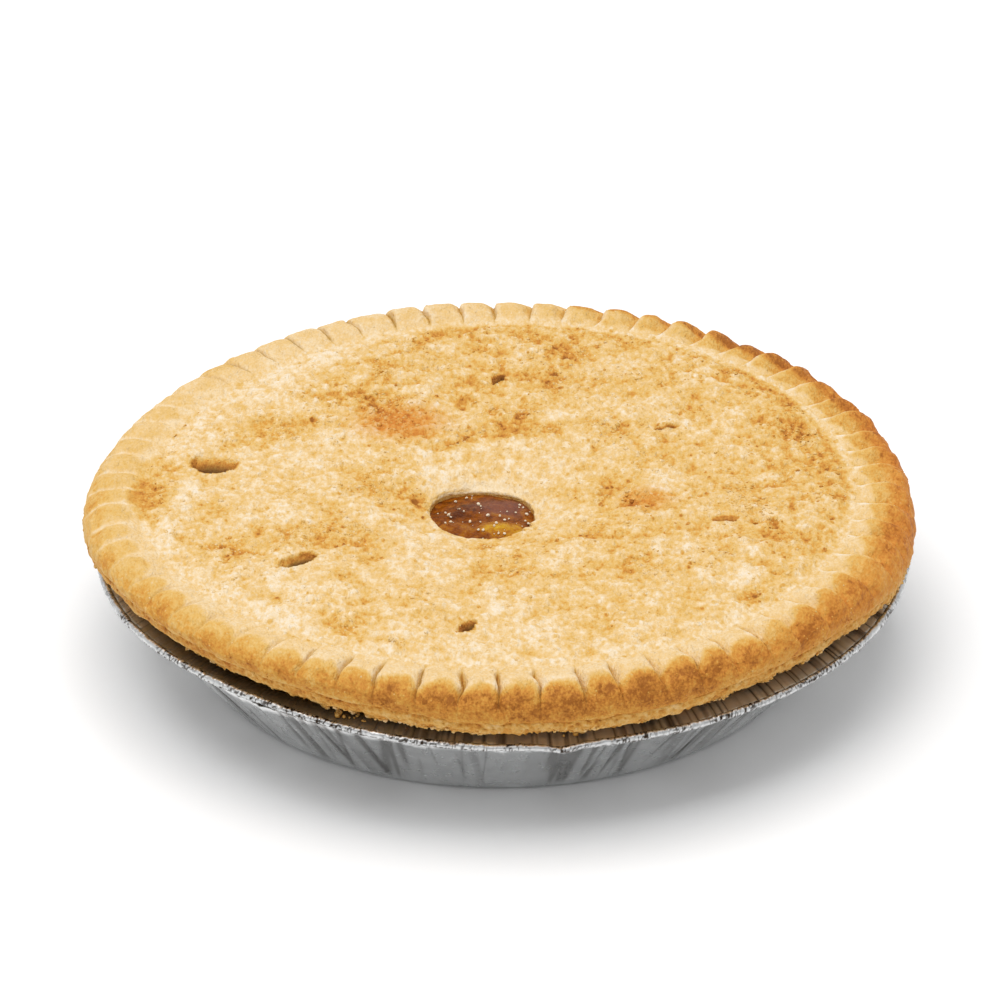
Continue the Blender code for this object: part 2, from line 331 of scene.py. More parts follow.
class NodeBoard:
    """A new material whose nodes are added and wired in one call each."""

    def __init__(self, name: str, squeeze: tuple[float, float, float] = (1.0, 1.0, 1.0)) -> None:
        """Start with a Principled BSDF, and with textures that a piece carries with it.

        Args:
            name: The material's name.
            squeeze: How much the textures are squeezed along the piece's own axes.
        """
        self.material = bpy.data.materials.new(name)
        self.material.use_nodes = True
        self.tree = self.material.node_tree
        self.shader = self.tree.nodes["Principled BSDF"]
        place = self.add("TexCoord").outputs["Object"]
        self.place = self.add("Mapping", Vector=place, Scale=squeeze).outputs[0]

    def wire(self, node: bpy.types.Node, **inputs: object) -> None:
        """Set a node's inputs.

        Args:
            node: The node.
            inputs: A number, a colour or another node's output for each input's name;
                i0, i1 and so on pick one by number.
        """
        for name, value in inputs.items():
            key = int(name[1:]) if name[1:].isdigit() else name.replace("_", " ")
            if isinstance(value, bpy.types.NodeSocket):
                self.tree.links.new(value, node.inputs[key])
            else:
                node.inputs[key].default_value = value

    def add(
        self, kind: str, settings: dict[str, object] | None = None, **inputs: object
    ) -> bpy.types.Node:
        """Add a node.

        Args:
            kind: The node's type without its leading ShaderNode.
            settings: Values of the node itself.
            inputs: Its inputs, as wire takes them.

        Returns:
            The node.
        """
        node = self.tree.nodes.new(f"ShaderNode{kind}")
        for name, value in (settings or {}).items():
            setattr(node, name, value)
        self.wire(node, **inputs)
        return node

    def sum_of(
        self, first: object, second: object, factor: object = 1.0
    ) -> bpy.types.NodeSocket:
        """first + second * factor."""
        node = self.add("Math", {"operation": "MULTIPLY_ADD"}, i0=second, i1=factor, i2=first)
        return node.outputs[0]

    def mark(self, name: str) -> bpy.types.NodeSocket:
        """The value that a piece carries under this name."""
        return self.add("Attribute", {"attribute_name": name}).outputs["Fac"]

    def noise(
        self, size: float, detail: float = 2.0, rough: float = 0.5
    ) -> bpy.types.NodeSocket:
        """Make noise round 0 that is fixed to the object.

        Args:
            size: About how far apart its features are, in mm.
            detail: How many finer layers it has.
            rough: How strong they are.

        Returns:
            The noise.
        """
        scale = 1.0 / (size * MM)
        node = self.add("TexNoise", Vector=self.place, Scale=scale, Detail=detail, Roughness=rough)
        return self.sum_of(-0.5, node.outputs["Fac"])

    def cells(self, size: float, wander: float) -> tuple[bpy.types.NodeSocket, ...]:
        """Packed round cells of uneven shape.

        Args:
            size: How far apart they are, in mm.
            wander: How uneven their shapes are.

        Returns:
            The distance from the nearest cell's middle in cell sizes, and two random
            values that each cell has.
        """
        warp = self.add("TexNoise", Vector=self.place, Scale=0.9 / (size * MM), Detail=1.0)
        reach = (wander * size * MM,) * 3
        more = {"i0": warp.outputs["Color"], "i1": reach, "i2": self.place}
        moved = self.add("VectorMath", {"operation": "MULTIPLY_ADD"}, **more)
        node = self.add("TexVoronoi", Vector=moved.outputs[0], Scale=1.0 / (size * MM))
        parts = self.add("SeparateColor", Color=node.outputs["Color"])
        return node.outputs["Distance"], parts.outputs[0], parts.outputs[1]

    def rise(
        self, at: object, low: float, high: float, start: float = 0.0, end: float = 1.0
    ) -> bpy.types.NodeSocket:
        """Go softly from start to end while a value goes from low to high.

        Args:
            at: The value.
            low: Where the rise begins.
            high: Where it ends.
            start: The result at low and below it.
            end: The result at high and above it.

        Returns:
            The result.
        """
        ends = {"From_Min": low, "From_Max": high, "To_Min": start, "To_Max": end}
        node = self.add("MapRange", {"interpolation_type": "SMOOTHSTEP"}, Value=at, **ends)
        return node.outputs[0]

    def ramp(self, at: object, stops: Stops) -> bpy.types.NodeSocket:
        """Make a colour that follows a value.

        Args:
            at: The value, from 0 to 1.
            stops: Places and their colours as 0 to 255 levels.

        Returns:
            The colour.
        """
        node = self.add("ValToRGB", i0=at)
        band = node.color_ramp
        for number, (place, levels) in enumerate(stops):
            stop = band.elements[number] if number < 2 else band.elements.new(place)
            stop.position = place
            stop.color = linear(levels)
        return node.outputs["Color"]

    def blend(self, share: object, first: object, second: object) -> bpy.types.NodeSocket:
        """A mix of two colours by a share from 0 to 1."""
        node = self.add("MixRGB", {"use_clamp": False}, Fac=share, Color1=first, Color2=second)
        return node.outputs["Color"]


def linear(levels: Levels) -> tuple[float, ...]:
    """Turn 0 to 255 display levels into linear light, with full cover behind it."""
    shares = [level / 255.0 for level in levels]
    return *(s / 12.92 if s <= 0.04045 else ((s + 0.055) / 1.055) ** 2.4 for s in shares), 1.0


@dataclass(frozen=True)
class PastryFinish:
    """Baked shortcrust, from pale cream over golden to brown.

    The mark bake is 0 where the crust is pale and 1 where it is brown, ruddy adds red to
    it, another mark blends in a dark tone as painted shade in pits, vents and groove
    lines and for scorched spots on the rim, coarse is how strong its flecks are, and rise
    is the height of the crumb relief, whose low places are browned and high places paled
    as painted shade and light.
    """

    name: str = "Baked pastry"
    palest: float = -0.3
    bake_range: float = 1.8
    tones: Stops = (
        (0.00, (238, 222, 197)),
        (0.17, (234, 209, 168)),
        (0.33, (228, 193, 135)),
        (0.52, (221, 179, 102)),
        (0.68, (213, 157, 71)),
        (0.83, (199, 133, 55)),
        (1.00, (156, 96, 36)),
    )
    ruddy_tone: Levels = (214, 118, 44)
    painted_shade_and_scorch_tone: Levels = (84, 54, 20)
    speck: float = 0.6
    speck_depth: float = 0.8
    fleck: float = 1.45
    fleck_depth: float = 1.5
    blotch: float = 3.6
    blotch_depth: float = 1.0
    painted_relief_shading: float = 0.42
    bead: float = 1.5
    bead_pale: float = -0.12
    bead_golden: float = 0.68
    golden_share: float = 0.16
    crevice_shade_depth: float = 0.1
    roughness: float = 0.6
    shine: float = 0.12
    grit: float = 0.5
    grit_height: float = 0.26
    grit_share: float = 1.1
    bead_share: float = 0.45
    ripple: float = 1.8
    ripple_share: float = 2.6
    squeeze: tuple[float, float, float] = (1.0, 0.62, 1.0)

    def material(self) -> bpy.types.Material:
        """Make the finish.

        Returns:
            The material.
        """
        board = NodeBoard(self.name, self.squeeze)
        bake = board.mark("bake")
        coarse = board.mark("coarse")
        distance, size, kind = board.cells(self.bead, 0.9)
        inside = board.sum_of(board.sum_of(0.1, size, 0.5), distance, -1.0)
        bead = board.rise(inside, 0.0, 0.28)
        # A thin ring round each bead is browned: painted shade in the crevice between beads.
        crevice_shade = board.sum_of(board.rise(inside, -0.25, -0.03), board.rise(inside, 0.0, 0.14), -1.0)
        golden = 1.0 - self.golden_share
        tone = board.rise(kind, golden, golden + 0.06, self.bead_pale, self.bead_golden)
        uneven = board.sum_of(0.0, crevice_shade, self.crevice_shade_depth)
        uneven = board.sum_of(uneven, bead, tone)
        uneven = board.sum_of(uneven, board.noise(self.fleck, 1.0), self.fleck_depth)
        uneven = board.sum_of(uneven, board.noise(self.blotch, 3.0, 0.55), self.blotch_depth)
        uneven = board.sum_of(0.0, uneven, coarse)
        uneven = board.sum_of(uneven, board.noise(self.speck, 1.0, 0.6), self.speck_depth)
        # Low places in the crumb relief are browned and high ones paled: painted shade and light.
        uneven = board.sum_of(uneven, board.mark("rise"), -self.painted_relief_shading)
        level = board.sum_of(bake, uneven, board.sum_of(0.8, bake, 0.15))
        share = board.sum_of(-self.palest / self.bake_range, level, 1.0 / self.bake_range)
        colour = board.ramp(share, self.tones)
        colour = board.blend(board.mark("ruddy"), colour, linear(self.ruddy_tone))
        # Blends in a dark tone: painted shade in pits, vents and groove lines, and scorched spots
        # on the rim.
        colour = board.blend(board.mark("painted_shade_and_scorch"), colour, linear(self.painted_shade_and_scorch_tone))
        height = board.sum_of(0.0, board.noise(self.grit, 1.0), self.grit_share)
        height = board.sum_of(height, bead, self.bead_share)
        height = board.sum_of(height, board.noise(self.ripple, 1.0, 0.4), self.ripple_share)
        bump = board.add("Bump", Strength=1.0, Distance=self.grit_height * MM, Height=height)
        shader, normal = board.shader, bump.outputs["Normal"]
        board.wire(shader, Base_Color=colour, Roughness=self.roughness, Normal=normal)
        board.wire(shader, Specular_IOR_Level=self.shine)
        return board.material


@dataclass(frozen=True)
class SyrupFinish:
    """Glossy amber brown fruit in syrup; the mark tone is 1 where the fruit is yellow."""

    name: str = "Peach filling"
    tones: Stops = (
        (0.00, (84, 38, 6)),
        (0.35, (138, 72, 10)),
        (0.70, (176, 114, 16)),
        (1.00, (202, 156, 40)),
    )
    painted_sky_reflection: Levels = (126, 84, 74)
    roughness: float = 0.14
    shine: float = 0.09

    def material(self) -> bpy.types.Material:
        """Make the finish.

        Returns:
            The material.
        """
        board = NodeBoard(self.name)
        level = board.sum_of(board.mark("tone"), board.noise(2.6, 4.0, 0.65), 1.5)
        colour = board.ramp(level, self.tones)
        # A purple-grey patch painted on as the sky's reflection.
        colour = board.blend(board.mark("painted_sky_reflection"), colour, linear(self.painted_sky_reflection))
        waves = board.sum_of(board.noise(0.8, 2.0), board.noise(2.4, 2.0), 2.0)
        bump = board.add("Bump", Strength=1.0, Distance=0.3 * MM, Height=waves)
        shader, normal = board.shader, bump.outputs["Normal"]
        board.wire(shader, Base_Color=colour, Roughness=self.roughness, Normal=normal)
        board.wire(shader, Specular_IOR_Level=self.shine)
        return board.material


@dataclass(frozen=True)
class FoilFinish:
    """Thin pressed aluminium foil.

    One mark blends in the stain tone, partly a real baked-syrup stain and partly a
    painted reflection of the brown crust above the flange; another blends in a dark tone
    as painted shade in the folds, pleats and crinkles; and crush roughens it.
    """

    name: str = "Foil"
    bright: Levels = (232, 233, 233)
    dull: Levels = (198, 199, 199)
    stain_and_reflection_tone: Levels = (178, 158, 116)
    shade: Levels = (54, 40, 26)
    roughness: float = 0.26

    def material(self) -> bpy.types.Material:
        """Make the finish.

        Returns:
            The material.
        """
        board = NodeBoard(self.name)
        share = board.sum_of(0.5, board.noise(7.0, 3.0, 0.6), 1.4)
        colour = board.blend(share, linear(self.bright), linear(self.dull))
        # The stain tone: a real syrup stain, and a painted reflection of the brown crust on the
        # flange.
        colour = board.blend(board.mark("stain_and_crust_reflection"), colour, linear(self.stain_and_reflection_tone))
        # Painted shade in the folds, pleats and crinkles.
        colour = board.blend(board.mark("painted_crease_shading"), colour, linear(self.shade))
        rough = board.sum_of(self.roughness, board.noise(3.0, 3.0, 0.6), 0.14)
        rough = board.sum_of(rough, board.mark("crush"), 0.14)
        height = board.sum_of(board.noise(0.9, 3.0, 0.6), board.noise(6.0, 2.0), 2.0)
        crushed = board.sum_of(0.3, board.mark("crush"), 0.7)
        bump = board.add("Bump", Strength=crushed, Distance=0.12 * MM, Height=height)
        board.wire(
            board.shader,
            Base_Color=colour,
            Metallic=board.sum_of(1.0, board.mark("stain_and_crust_reflection"), -0.7),
            Roughness=rough,
            Normal=bump.outputs["Normal"],
        )
        return board.material


# ---------------------------------------------------------------- the pie's plan


@dataclass(frozen=True)
class PiePlan:
    """Where the pie's surfaces run, by the same rules and sizes as its solids."""

    crust_x: float = -0.6
    hole_x: float = -4.0
    hole_y: float = -7.2
    hole_radius: float = 14.1
    valley_radius: float = 96.0
    lid_level: float = 45.2
    lid_dip: float = 4.0
    lid_dip_reach: float = 16.0
    wave_limit: float = 93.0
    waves: tuple[tuple[float, float, float, float], ...] = (
        (0.45, 23.0, 31.0, 0.6), (0.35, -17.0, 21.0, 2.1), (0.25, 13.0, -15.0, 4.0),
    )
    first_groove: float = math.radians(-89.6)
    crimps: int = 64
    groove_jitter: float = 0.09
    height_jitter: float = 0.45
    reach_jitter: float = 0.35
    edge_tilt: float = 0.6
    high_side: float = math.radians(60)
    swells: tuple[tuple[float, float, float, float], ...] = (
        (155.0, 26.0, -2.4, -0.9), (58.0, 28.0, 0.7, 1.2), (-125.0, 26.0, 0.0, 0.9),
    )
    # Direction, and how far the edge is drawn in near its foot and how much it sinks.
    tucks: Table = (
        (-180, 0.3, 0.0), (-172, 0.4, 0.0), (-165, 1.4, 0.0), (-159, 2.3, 0.0),
        (-150, 2.9, 0.0), (-135, 3.1, 0.0), (-120, 2.5, 0.0), (-105, 1.8, 0.0), (-92, 0.4, 0.0),
        (-70, 0.2, 0.0), (-55, 1.3, 0.0), (-35, 1.2, 0.0), (-22, -0.8, 0.0), (-8, -0.9, 0.0),
        (3, 0.3, 0.0), (45, 0.0, 0.3), (52, 0.0, 0.9), (60, 0.0, 0.4), (75, 0.0, 0.4),
        (95, 0.0, 0.0), (115, 0.0, -0.3), (133, 0.0, 0.7), (150, 0.0, 0.2),
    )
    seed: int = 7

    def settle(self, place: Array, angle: Array) -> Array:
        """Draw the edge's foot in and let its crimps sink as the table of tucks says.

        Args:
            place: Points of the crust.
            angle: Their directions.

        Returns:
            The points after that.
        """
        low = np.clip((44.0 - place[..., 2]) / 7.0, 0.0, 1.0)
        draw = round_the_pie(self.tucks, 1, angle) * low
        sink = round_the_pie(self.tucks, 2, angle)
        sink = sink * smooth_rise(97.0, 104.0, np.hypot(place[..., 0], place[..., 1]))
        return place - points_at(np.cos(angle) * draw, np.sin(angle) * draw, sink - 0.9 * draw)

    def angles(self, count: int) -> Array:
        """Evenly spaced directions, from the front groove on."""
        return self.first_groove + math.tau * np.arange(count) / count

    def swell(self, angle: Array) -> tuple[Array, Array]:
        """Bend the crimped edge out of a true circle.

        Args:
            angle: Directions in radians.

        Returns:
            How far the edge reaches out and how far it lifts in each direction.
        """
        reach = np.zeros_like(angle)
        lift = self.edge_tilt * np.cos(angle - self.high_side)
        for middle, spread, out, up in self.swells:
            share = bell(angle, middle, spread)
            reach = reach + out * share
            lift = lift + up * share
        return reach, lift

    def lid_height(self, x: Array, y: Array) -> Array:
        """Find how high the lid is before its crumb relief.

        Args:
            x: The places' first coordinate.
            y: Their second coordinate.

        Returns:
            The height at each place.
        """
        radius = np.hypot(x - self.crust_x, y)
        from_hole = np.maximum(0.0, np.hypot(x - self.hole_x, y - self.hole_y) - self.hole_radius)
        height = self.lid_level - self.lid_dip * np.exp(-from_hole / self.lid_dip_reach)
        fade = np.maximum(0.0, 1.0 - (radius / self.wave_limit) ** 4)
        for size, length_x, length_y, start in self.waves:
            height = height + size * fade * np.sin(x / length_x + y / length_y + start)
        return height

    def lid_place(self, radius: Array, angle: Array) -> tuple[Array, Array, Array]:
        """Place rings that go from the steam hole's circle over to the crust's own.

        Args:
            radius: The rings' radius.
            angle: Directions from their middle.

        Returns:
            x and y of each point, and how far the edge's lift raises it.
        """
        share = (radius - self.hole_radius) / (self.valley_radius - self.hole_radius)
        reach, lift = self.swell(angle)
        out = radius + reach * share
        middle_x = self.hole_x + (self.crust_x - self.hole_x) * share
        middle_y = self.hole_y * (1.0 - share)
        return middle_x + out * np.cos(angle), middle_y + out * np.sin(angle), lift * share

    def crimp_draws(self) -> tuple[Array, Array, Array]:
        """Draw the uneven crimps.

        Returns:
            The grooves' directions, and each crimp's extra height and reach.
        """
        rng = random.Random(self.seed)
        step = math.tau / self.crimps
        grooves = [
            self.first_groove + step * (i + rng.uniform(-self.groove_jitter, self.groove_jitter))
            for i in range(self.crimps)
        ]
        heights = [rng.uniform(-self.height_jitter, self.height_jitter) for _ in range(self.crimps)]
        reaches = [rng.uniform(-self.reach_jitter, self.reach_jitter) for _ in range(self.crimps)]
        return np.array(grooves), np.array(heights), np.array(reaches)


PLAN = PiePlan()


# ---------------------------------------------------------------- crust


@dataclass(frozen=True)
class Patch:
    """A place on the lid that is browner than what is round it, or paler if below 0.

    Its middle and half sizes are in mm and its turn in degrees.
    """

    x: float
    y: float
    across: float
    along: float
    turn: float
    strength: float

    def at(self, x: Array, y: Array) -> Array:
        """Find how much of the patch is at each place.

        Args:
            x: The places' first coordinate.
            y: Their second coordinate.

        Returns:
            The strength in the patch's middle, and softly less out to 0.
        """
        u, v = turned(x, y, (self.x, self.y), self.turn)
        distance = (u / self.across) ** 2 + (v / self.along) ** 2
        return self.strength * np.exp(-(distance**1.5))


LID_PATCHES = tuple(
    Patch(*row)
    for row in (
        (-27, 38, 11, 8, 0, 0.50), (-42, 51, 19, 6, -14, 0.42), (-54, 38, 15, 6, 0, 0.26),
        (3, 35, 10, 6, 22, 0.52), (-14, 23, 4, 3, 0, 0.45), (-26, 27, 9, 6, 0, 0.25),
        (-36, 8, 10, 12, 20, 0.28), (-34, 4, 5, 5, 0, 0.25), (-21, -4, 3, 6, 10, 0.50),
        (-31, -17, 3, 3, 0, 0.40), (-50, -27, 28, 7, 4, 0.36), (-68, -39, 5, 4, 0, 0.30),
        (-76, -44, 8, 11, 0, 0.18), (-95, -5, 6, 15, 4, 0.62), (-89, 13, 4, 5, 0, 0.25),
        (-20, 91, 5, 6, 0, 0.42), (-38, 87, 9, 5, 20, 0.40), (-4, 91, 9, 6, 0, 0.35),
        (-5, 80, 6, 4, 0, 0.30), (-23, 80, 5, 6, 0, 0.26), (28, 88, 3, 4, 0, 0.25),
        (12, 90, 9, 5, 0, 0.20), (-32, 66, 3, 5, 0, 0.30), (13, 64, 6, 6, 0, 0.34),
        (18, 78, 5, 7, 0, 0.26), (-8, 51, 4, 3, 0, 0.50), (-46, 80, 5, 4, 20, 0.20),
        (36, 52, 3, 3, 0, 0.34), (25, 35, 4, 4, 0, 0.28), (33, 33, 4, 4, 0, 0.26),
        (-1, 43, 3, 3, 0, 0.30), (57, 71, 6, 6, 0, 0.30), (70, 62, 8, 7, -40, 0.36),
        (78, 50, 7, 10, 20, 0.46), (81, 30, 8, 10, 0, 0.42), (70, 34, 4, 8, 0, 0.25),
        (90, 15, 4, 12, 0, 0.34), (93, -3, 4, 10, 0, 0.30), (71, 1, 9, 3, 8, 0.34),
        (82, 6, 8, 10, 0, 0.16), (78, -12, 10, 7, 0, 0.16), (40, -6, 6, 6, 0, 0.30),
        (38, -11, 10, 8, 0, 0.20), (28, 0, 4, 4, 0, 0.18), (38, 10, 3, 3, 0, 0.26),
        (27, -26, 6, 4, 0, 0.36), (19, -27, 6, 5, 0, 0.18), (35, -36, 6, 6, 0, 0.34),
        (40, -44, 12, 6, 0, 0.24), (62, -30, 8, 5, 0, 0.30), (58, -37, 4, 5, 0, 0.36),
        (76, -30, 6, 5, 0, 0.22), (72, -46, 7, 5, 0, 0.24), (86, -24, 5, 10, 0, 0.16),
        (36, -52, 3, 3, 0, 0.24), (-5, -43, 6, 4, 0, 0.34), (4, -45, 5, 3, 0, 0.22),
        (4, -35, 3, 3, 0, 0.30), (2, -60, 3, 3, 0, 0.24), (-24, -60, 4, 5, 0, 0.34),
        (-19, -69, 3, 3, 0, 0.26), (-42, -48, 3, 4, 0, 0.34), (-60, -65, 8, 9, 0, 0.20),
        (-40, -75, 5, 9, 0, 0.20), (-30, -86, 6, 6, 0, 0.16), (30, -70, 7, 6, 0, 0.22),
        (66, -60, 7, 5, 0, 0.20), (35, -88, 8, 4, 0, 0.18), (72, -22, 4, 4, 0, 0.40),
        (-12, 15, 5, 9, 0, -0.22), (3, 12, 9, 6, 0, -0.24), (14, -9, 5, 8, 0, -0.22),
        (-19, -23, 9, 6, 20, -0.26), (-9, 47, 8, 4, 0, -0.24), (-60, 16, 26, 9, 20, -0.14),
        (-84, -8, 5, 12, 0, -0.14), (-70, 60, 26, 10, 48, -0.18), (-9, -65, 8, 6, 0, -0.18),
        (48, 5, 9, 4, 0, -0.22), (48, 42, 4, 4, 0, -0.20), (18, 40, 4, 4, 0, -0.22),
        (64, -54, 4, 4, 0, -0.26), (76, -64, 5, 12, -40, -0.22), (35, -93, 10, 4, 0, -0.20),
        (-54, -80, 26, 7, -36, -0.24), (-15, -98, 14, 4, 0, -0.16),
    )
)


@dataclass(frozen=True)
class Vent:
    """A small torn steam vent that slopes down to a crisp lip on one side."""

    x: float
    y: float
    length: float
    width: float
    depth: float
    turn: float
    fall: float = 0.8

    def at(self, x: Array, y: Array) -> Array:
        """Find how deep the vent is.

        Args:
            x: The places' first coordinate.
            y: Their second coordinate.

        Returns:
            The depth at each place, 0 outside the vent.
        """
        u, v = turned(x, y, (self.x, self.y), self.turn)
        inside = np.clip(1.0 - (2.0 * u / self.length) ** 2, 0.0, 1.0)
        half = 0.5 * self.width * np.sqrt(inside) + 1e-6
        across = (v + half) / (2.0 * half)
        slope = np.clip(1.0 - across, 0.0, 1.0) ** self.fall
        return np.where((across > 0.0) & (across < 1.0), self.depth * np.sqrt(inside) * slope, 0.0)


VENTS = (
    Vent(-77.6, 15.6, 13.0, 13.0, 7.0, -3, 1.3),
    Vent(-53.4, -40.6, 13.0, 6.0, 4.0, 44),
    Vent(-8.4, -74.6, 8.0, 4.0, 3.2, 64),
    Vent(-0.4, 63.4, 7.5, 3.4, 2.8, 70),
    Vent(60.6, -17.4, 8.0, 4.0, 1.4, 10),
    Vent(46.4, 33.1, 7.0, 2.8, 2.0, 20),
)


@dataclass(frozen=True)
class Ledge:
    """A torn edge in the lid: the crust behind the line lies lower than in front of it."""

    x: float
    y: float
    end_x: float
    end_y: float
    drop: float
    width: float

    def at(self, x: Array, y: Array) -> Array:
        """Find how far the crust is sunk behind the line.

        Args:
            x: The places' first coordinate.
            y: Their second coordinate.

        Returns:
            The depth at each place.
        """
        long = math.hypot(self.end_x - self.x, self.end_y - self.y)
        along_x, along_y = (self.end_x - self.x) / long, (self.end_y - self.y) / long
        along = ((x - self.x) * along_x + (y - self.y) * along_y) / long
        behind = (y - self.y) * along_x - (x - self.x) * along_y
        ends = smooth_rise(-0.1, 0.25, along) * smooth_rise(1.1, 0.75, along)
        sunk = smooth_rise(-0.15, 0.35, behind) * np.exp(-np.clip(behind, 0.0, None) / self.width)
        return self.drop * ends * sunk


LEDGES = (
    Ledge(-51, -35, -35, -30.5, 0.9, 2.2),
    Ledge(-92.5, 20.5, -87, 18.6, 0.5, 1.6),
    Ledge(-17, 21, -5, 33, 0.6, 2.5),
    Ledge(66, -19, 74, -21, 0.8, 2.0),
    Ledge(30, -12, 46, -8, 0.5, 2.0),
    Ledge(-34, 60, -20, 58, 0.4, 2.0),
    Ledge(52, 66, 70, 54, 0.5, 2.5),
    Ledge(-70, -37, -60, -38, 0.6, 2.0),
    Ledge(14, -27, 30, -28, 0.5, 1.8),
    Ledge(20, 56, 34, 50, 0.5, 2.0),
)


@dataclass
class Lid:
    """The top crust from the steam hole's wall out to under the crimps."""

    name: str = "crust_lid"
    sides: int = 960
    step: float = 0.62
    outer_radius: float = 97.0
    wall_depths: tuple[float, ...] = (6.0, 3.6, 2.6, 1.9, 1.4, 1.0, 0.7)
    lip: Section = ((0.12, 0.42), (0.36, 0.18), (0.7, 0.05))
    # Direction from the hole's middle, and how far its torn edge lies out of its circle.
    hole_edge: Table = (
        (-180, 0.5), (-161, -0.1), (-125, 0.4), (-93, 0.6), (-66, 1.1), (-58, -0.1), (-49, 1.2),
        (-41, -0.3), (-33, 1.2), (-25, -0.5), (-17, 0.8), (-10, -0.2), (5, -0.6), (45, -0.9),
        (72, -2.0), (90, -1.5), (107, -0.5), (131, 0.8), (169, 0.9),
    )
    hidden: Section = (
        (98.0, 43.4), (98.4, 41.0), (98.0, 38.4), (70.0, 36.6), (40.0, 35.6),
    )
    sparse_radius: float = 56.0
    sparser_radius: float = 27.0
    base_bake: float = 0.36
    right_bake: float = 0.10
    patch_share: float = 1.18
    spot_bake: float = 0.35
    brownest: float = 1.0
    valley_bake: float = 0.14
    warp_x: Layers = ((2.4, 7.0, 3.0), (2.0, 2.6, 5.0))
    warp_y: Layers = ((2.4, 7.0, 4.0), (2.0, 2.6, 6.0))
    mottle: Layers = ((0.14, 9.0, 8.0), (0.14, 4.0, 10.0))
    fine_crumb: Layers = ((0.46, 2.6, 11.0), (0.26, 1.4, 12.0))
    broad_crumb: Layers = ((0.32, 11.0, 13.0), (0.24, 5.0, 14.0))
    ragged_hole: Layers = ((0.9, 2.3, 21.0), (0.6, 1.0, 22.0))
    ruddy_patches: tuple[Patch, ...] = (
        Patch(-27, 38, 12, 9, 0, 0.4),
        Patch(40, -7, 7, 6, 0, 0.25),
    )
    # Direction, and the ring radius at which the pale valley inside the crimps begins.
    valley_starts: Table = (
        (-174, 100.0), (-165, 93.0), (-150, 86.0), (-130, 86.0), (-110, 89.0), (-90, 90.0),
        (-60, 91.0), (-40, 94.0), (-20, 94.8), (30, 95.0), (50, 94.4), (70, 94.0), (90, 95.5),
        (105, 94.0), (120, 88.0), (135, 84.0), (150, 86.0), (166, 93.0), (174, 100.0),
    )

    def rows(self) -> tuple[Array, Array, Array]:
        """Lay out the rows from the steam hole's wall outwards and back underneath.

        Returns:
            Each row's ring radius, its depth below the lid, and its height where that is
            fixed and not a number elsewhere.
        """
        hole = PLAN.hole_radius
        radii = [hole] * len(self.wall_depths) + [hole + out for out, _ in self.lip]
        depths = [*self.wall_depths, *(down for _, down in self.lip)]
        count = int((self.outer_radius - hole - 1.1) / self.step)
        open_rows = np.linspace(hole + 1.1, self.outer_radius, count)
        radii += [*open_rows, *(radius for radius, _ in self.hidden), hole]
        depths += [0.0] * (count + len(self.hidden)) + [self.wall_depths[0]]
        levels = [math.nan] * len(depths)
        start = len(depths) - 1 - len(self.hidden)
        levels[start:-1] = [height for _, height in self.hidden]
        return np.array(radii), np.array(depths), np.array(levels)

    def bake(self, x: Array, y: Array, radius: Array) -> Array:
        """Find how baked the lid is.

        Args:
            x: The places' first coordinate.
            y: Their second coordinate.
            radius: Their distance from the crust's middle.

        Returns:
            The mark bake at each place, pale in the valley inside the crimps.
        """
        flat = points_at(x, y, 0.0)
        bake = self.base_bake + self.right_bake * x / 90.0 + 0.07 * smooth_rise(0.0, 70.0, y)
        bake = bake - 0.07 * smooth_rise(-15.0, -75.0, y)
        bake = bake + 0.07 * smooth_rise(20.0, 90.0, y - 0.8 * x)
        bake = layers(flat, self.mottle, bake)
        crowded = 0.15 + np.clip(lumps(flat, 13.0, 16.0), 0.0, 1.0)
        bake = bake + self.spot_bake * crowded * smooth_rise(0.35, 0.6, lumps(flat, 2.3, 17.0))
        warped_x, warped_y = layers(flat, self.warp_x, x), layers(flat, self.warp_y, y)
        for patch in LID_PATCHES:
            bake = bake + self.patch_share * patch.at(warped_x, warped_y)
        bake = np.minimum(bake, self.brownest)
        start = round_the_pie(self.valley_starts, 1, np.arctan2(y, x - PLAN.crust_x))
        spread = 0.5 + 0.22 * np.maximum(98.0 - start, -1.0)
        wander = (0.4 + 0.12 * np.maximum(98.0 - start, 0.0)) * lumps(flat, 6.0, 9.0)
        valley = smooth_rise(-1.0, 1.0, (radius + wander - start - 0.6 * spread) / spread)
        return bake + (self.valley_bake - bake) * valley

    def crumb(self, place: Array, bake: Array) -> Array:
        """Find how high the lid's crumb relief is.

        Args:
            place: Points of the lid.
            bake: How baked they are: a browner crust is rougher.

        Returns:
            The height over the smooth lid.
        """
        rough = 0.75 + 0.5 * smooth_rise(0.3, 0.8, bake)
        beads = np.clip(1.0 - grains(place, 1.7, 2.0) / 0.75, 0.0, 1.0)
        cracks = 0.22 * np.clip(1.0 - 4.0 * np.abs(lumps(place, 9.0, 15.0)), 0.0, 1.0)
        fine, broad = layers(place, self.fine_crumb), layers(place, self.broad_crumb)
        return broad - cracks + rough * (fine + 0.5 * beads)

    def near_the_hole(self, radii: Array, angle: Array) -> tuple[Array, Array, Array]:
        """Let the rows near the steam hole follow its torn edge.

        Args:
            radii: Each row's ring radius.
            angle: Directions from the hole's middle.

        Returns:
            The radius of each point, how near it is to the hole, and how ragged the
            edge is in its direction.
        """
        ring = points_at(np.cos(angle), np.sin(angle), 0.0) * PLAN.hole_radius
        front = 0.35 + 0.65 * bell(angle, -45.0, 55.0)
        ragged = front * layers(ring, self.ragged_hole)
        radius = np.repeat(radii[:, None], self.sides, axis=1)
        near = 1.0 - smooth_rise(PLAN.hole_radius + 0.2, PLAN.hole_radius + 5.0, radius)
        wobble = round_the_pie(self.hole_edge, 1, angle)
        return radius + (wobble + ragged) * near, near, ragged

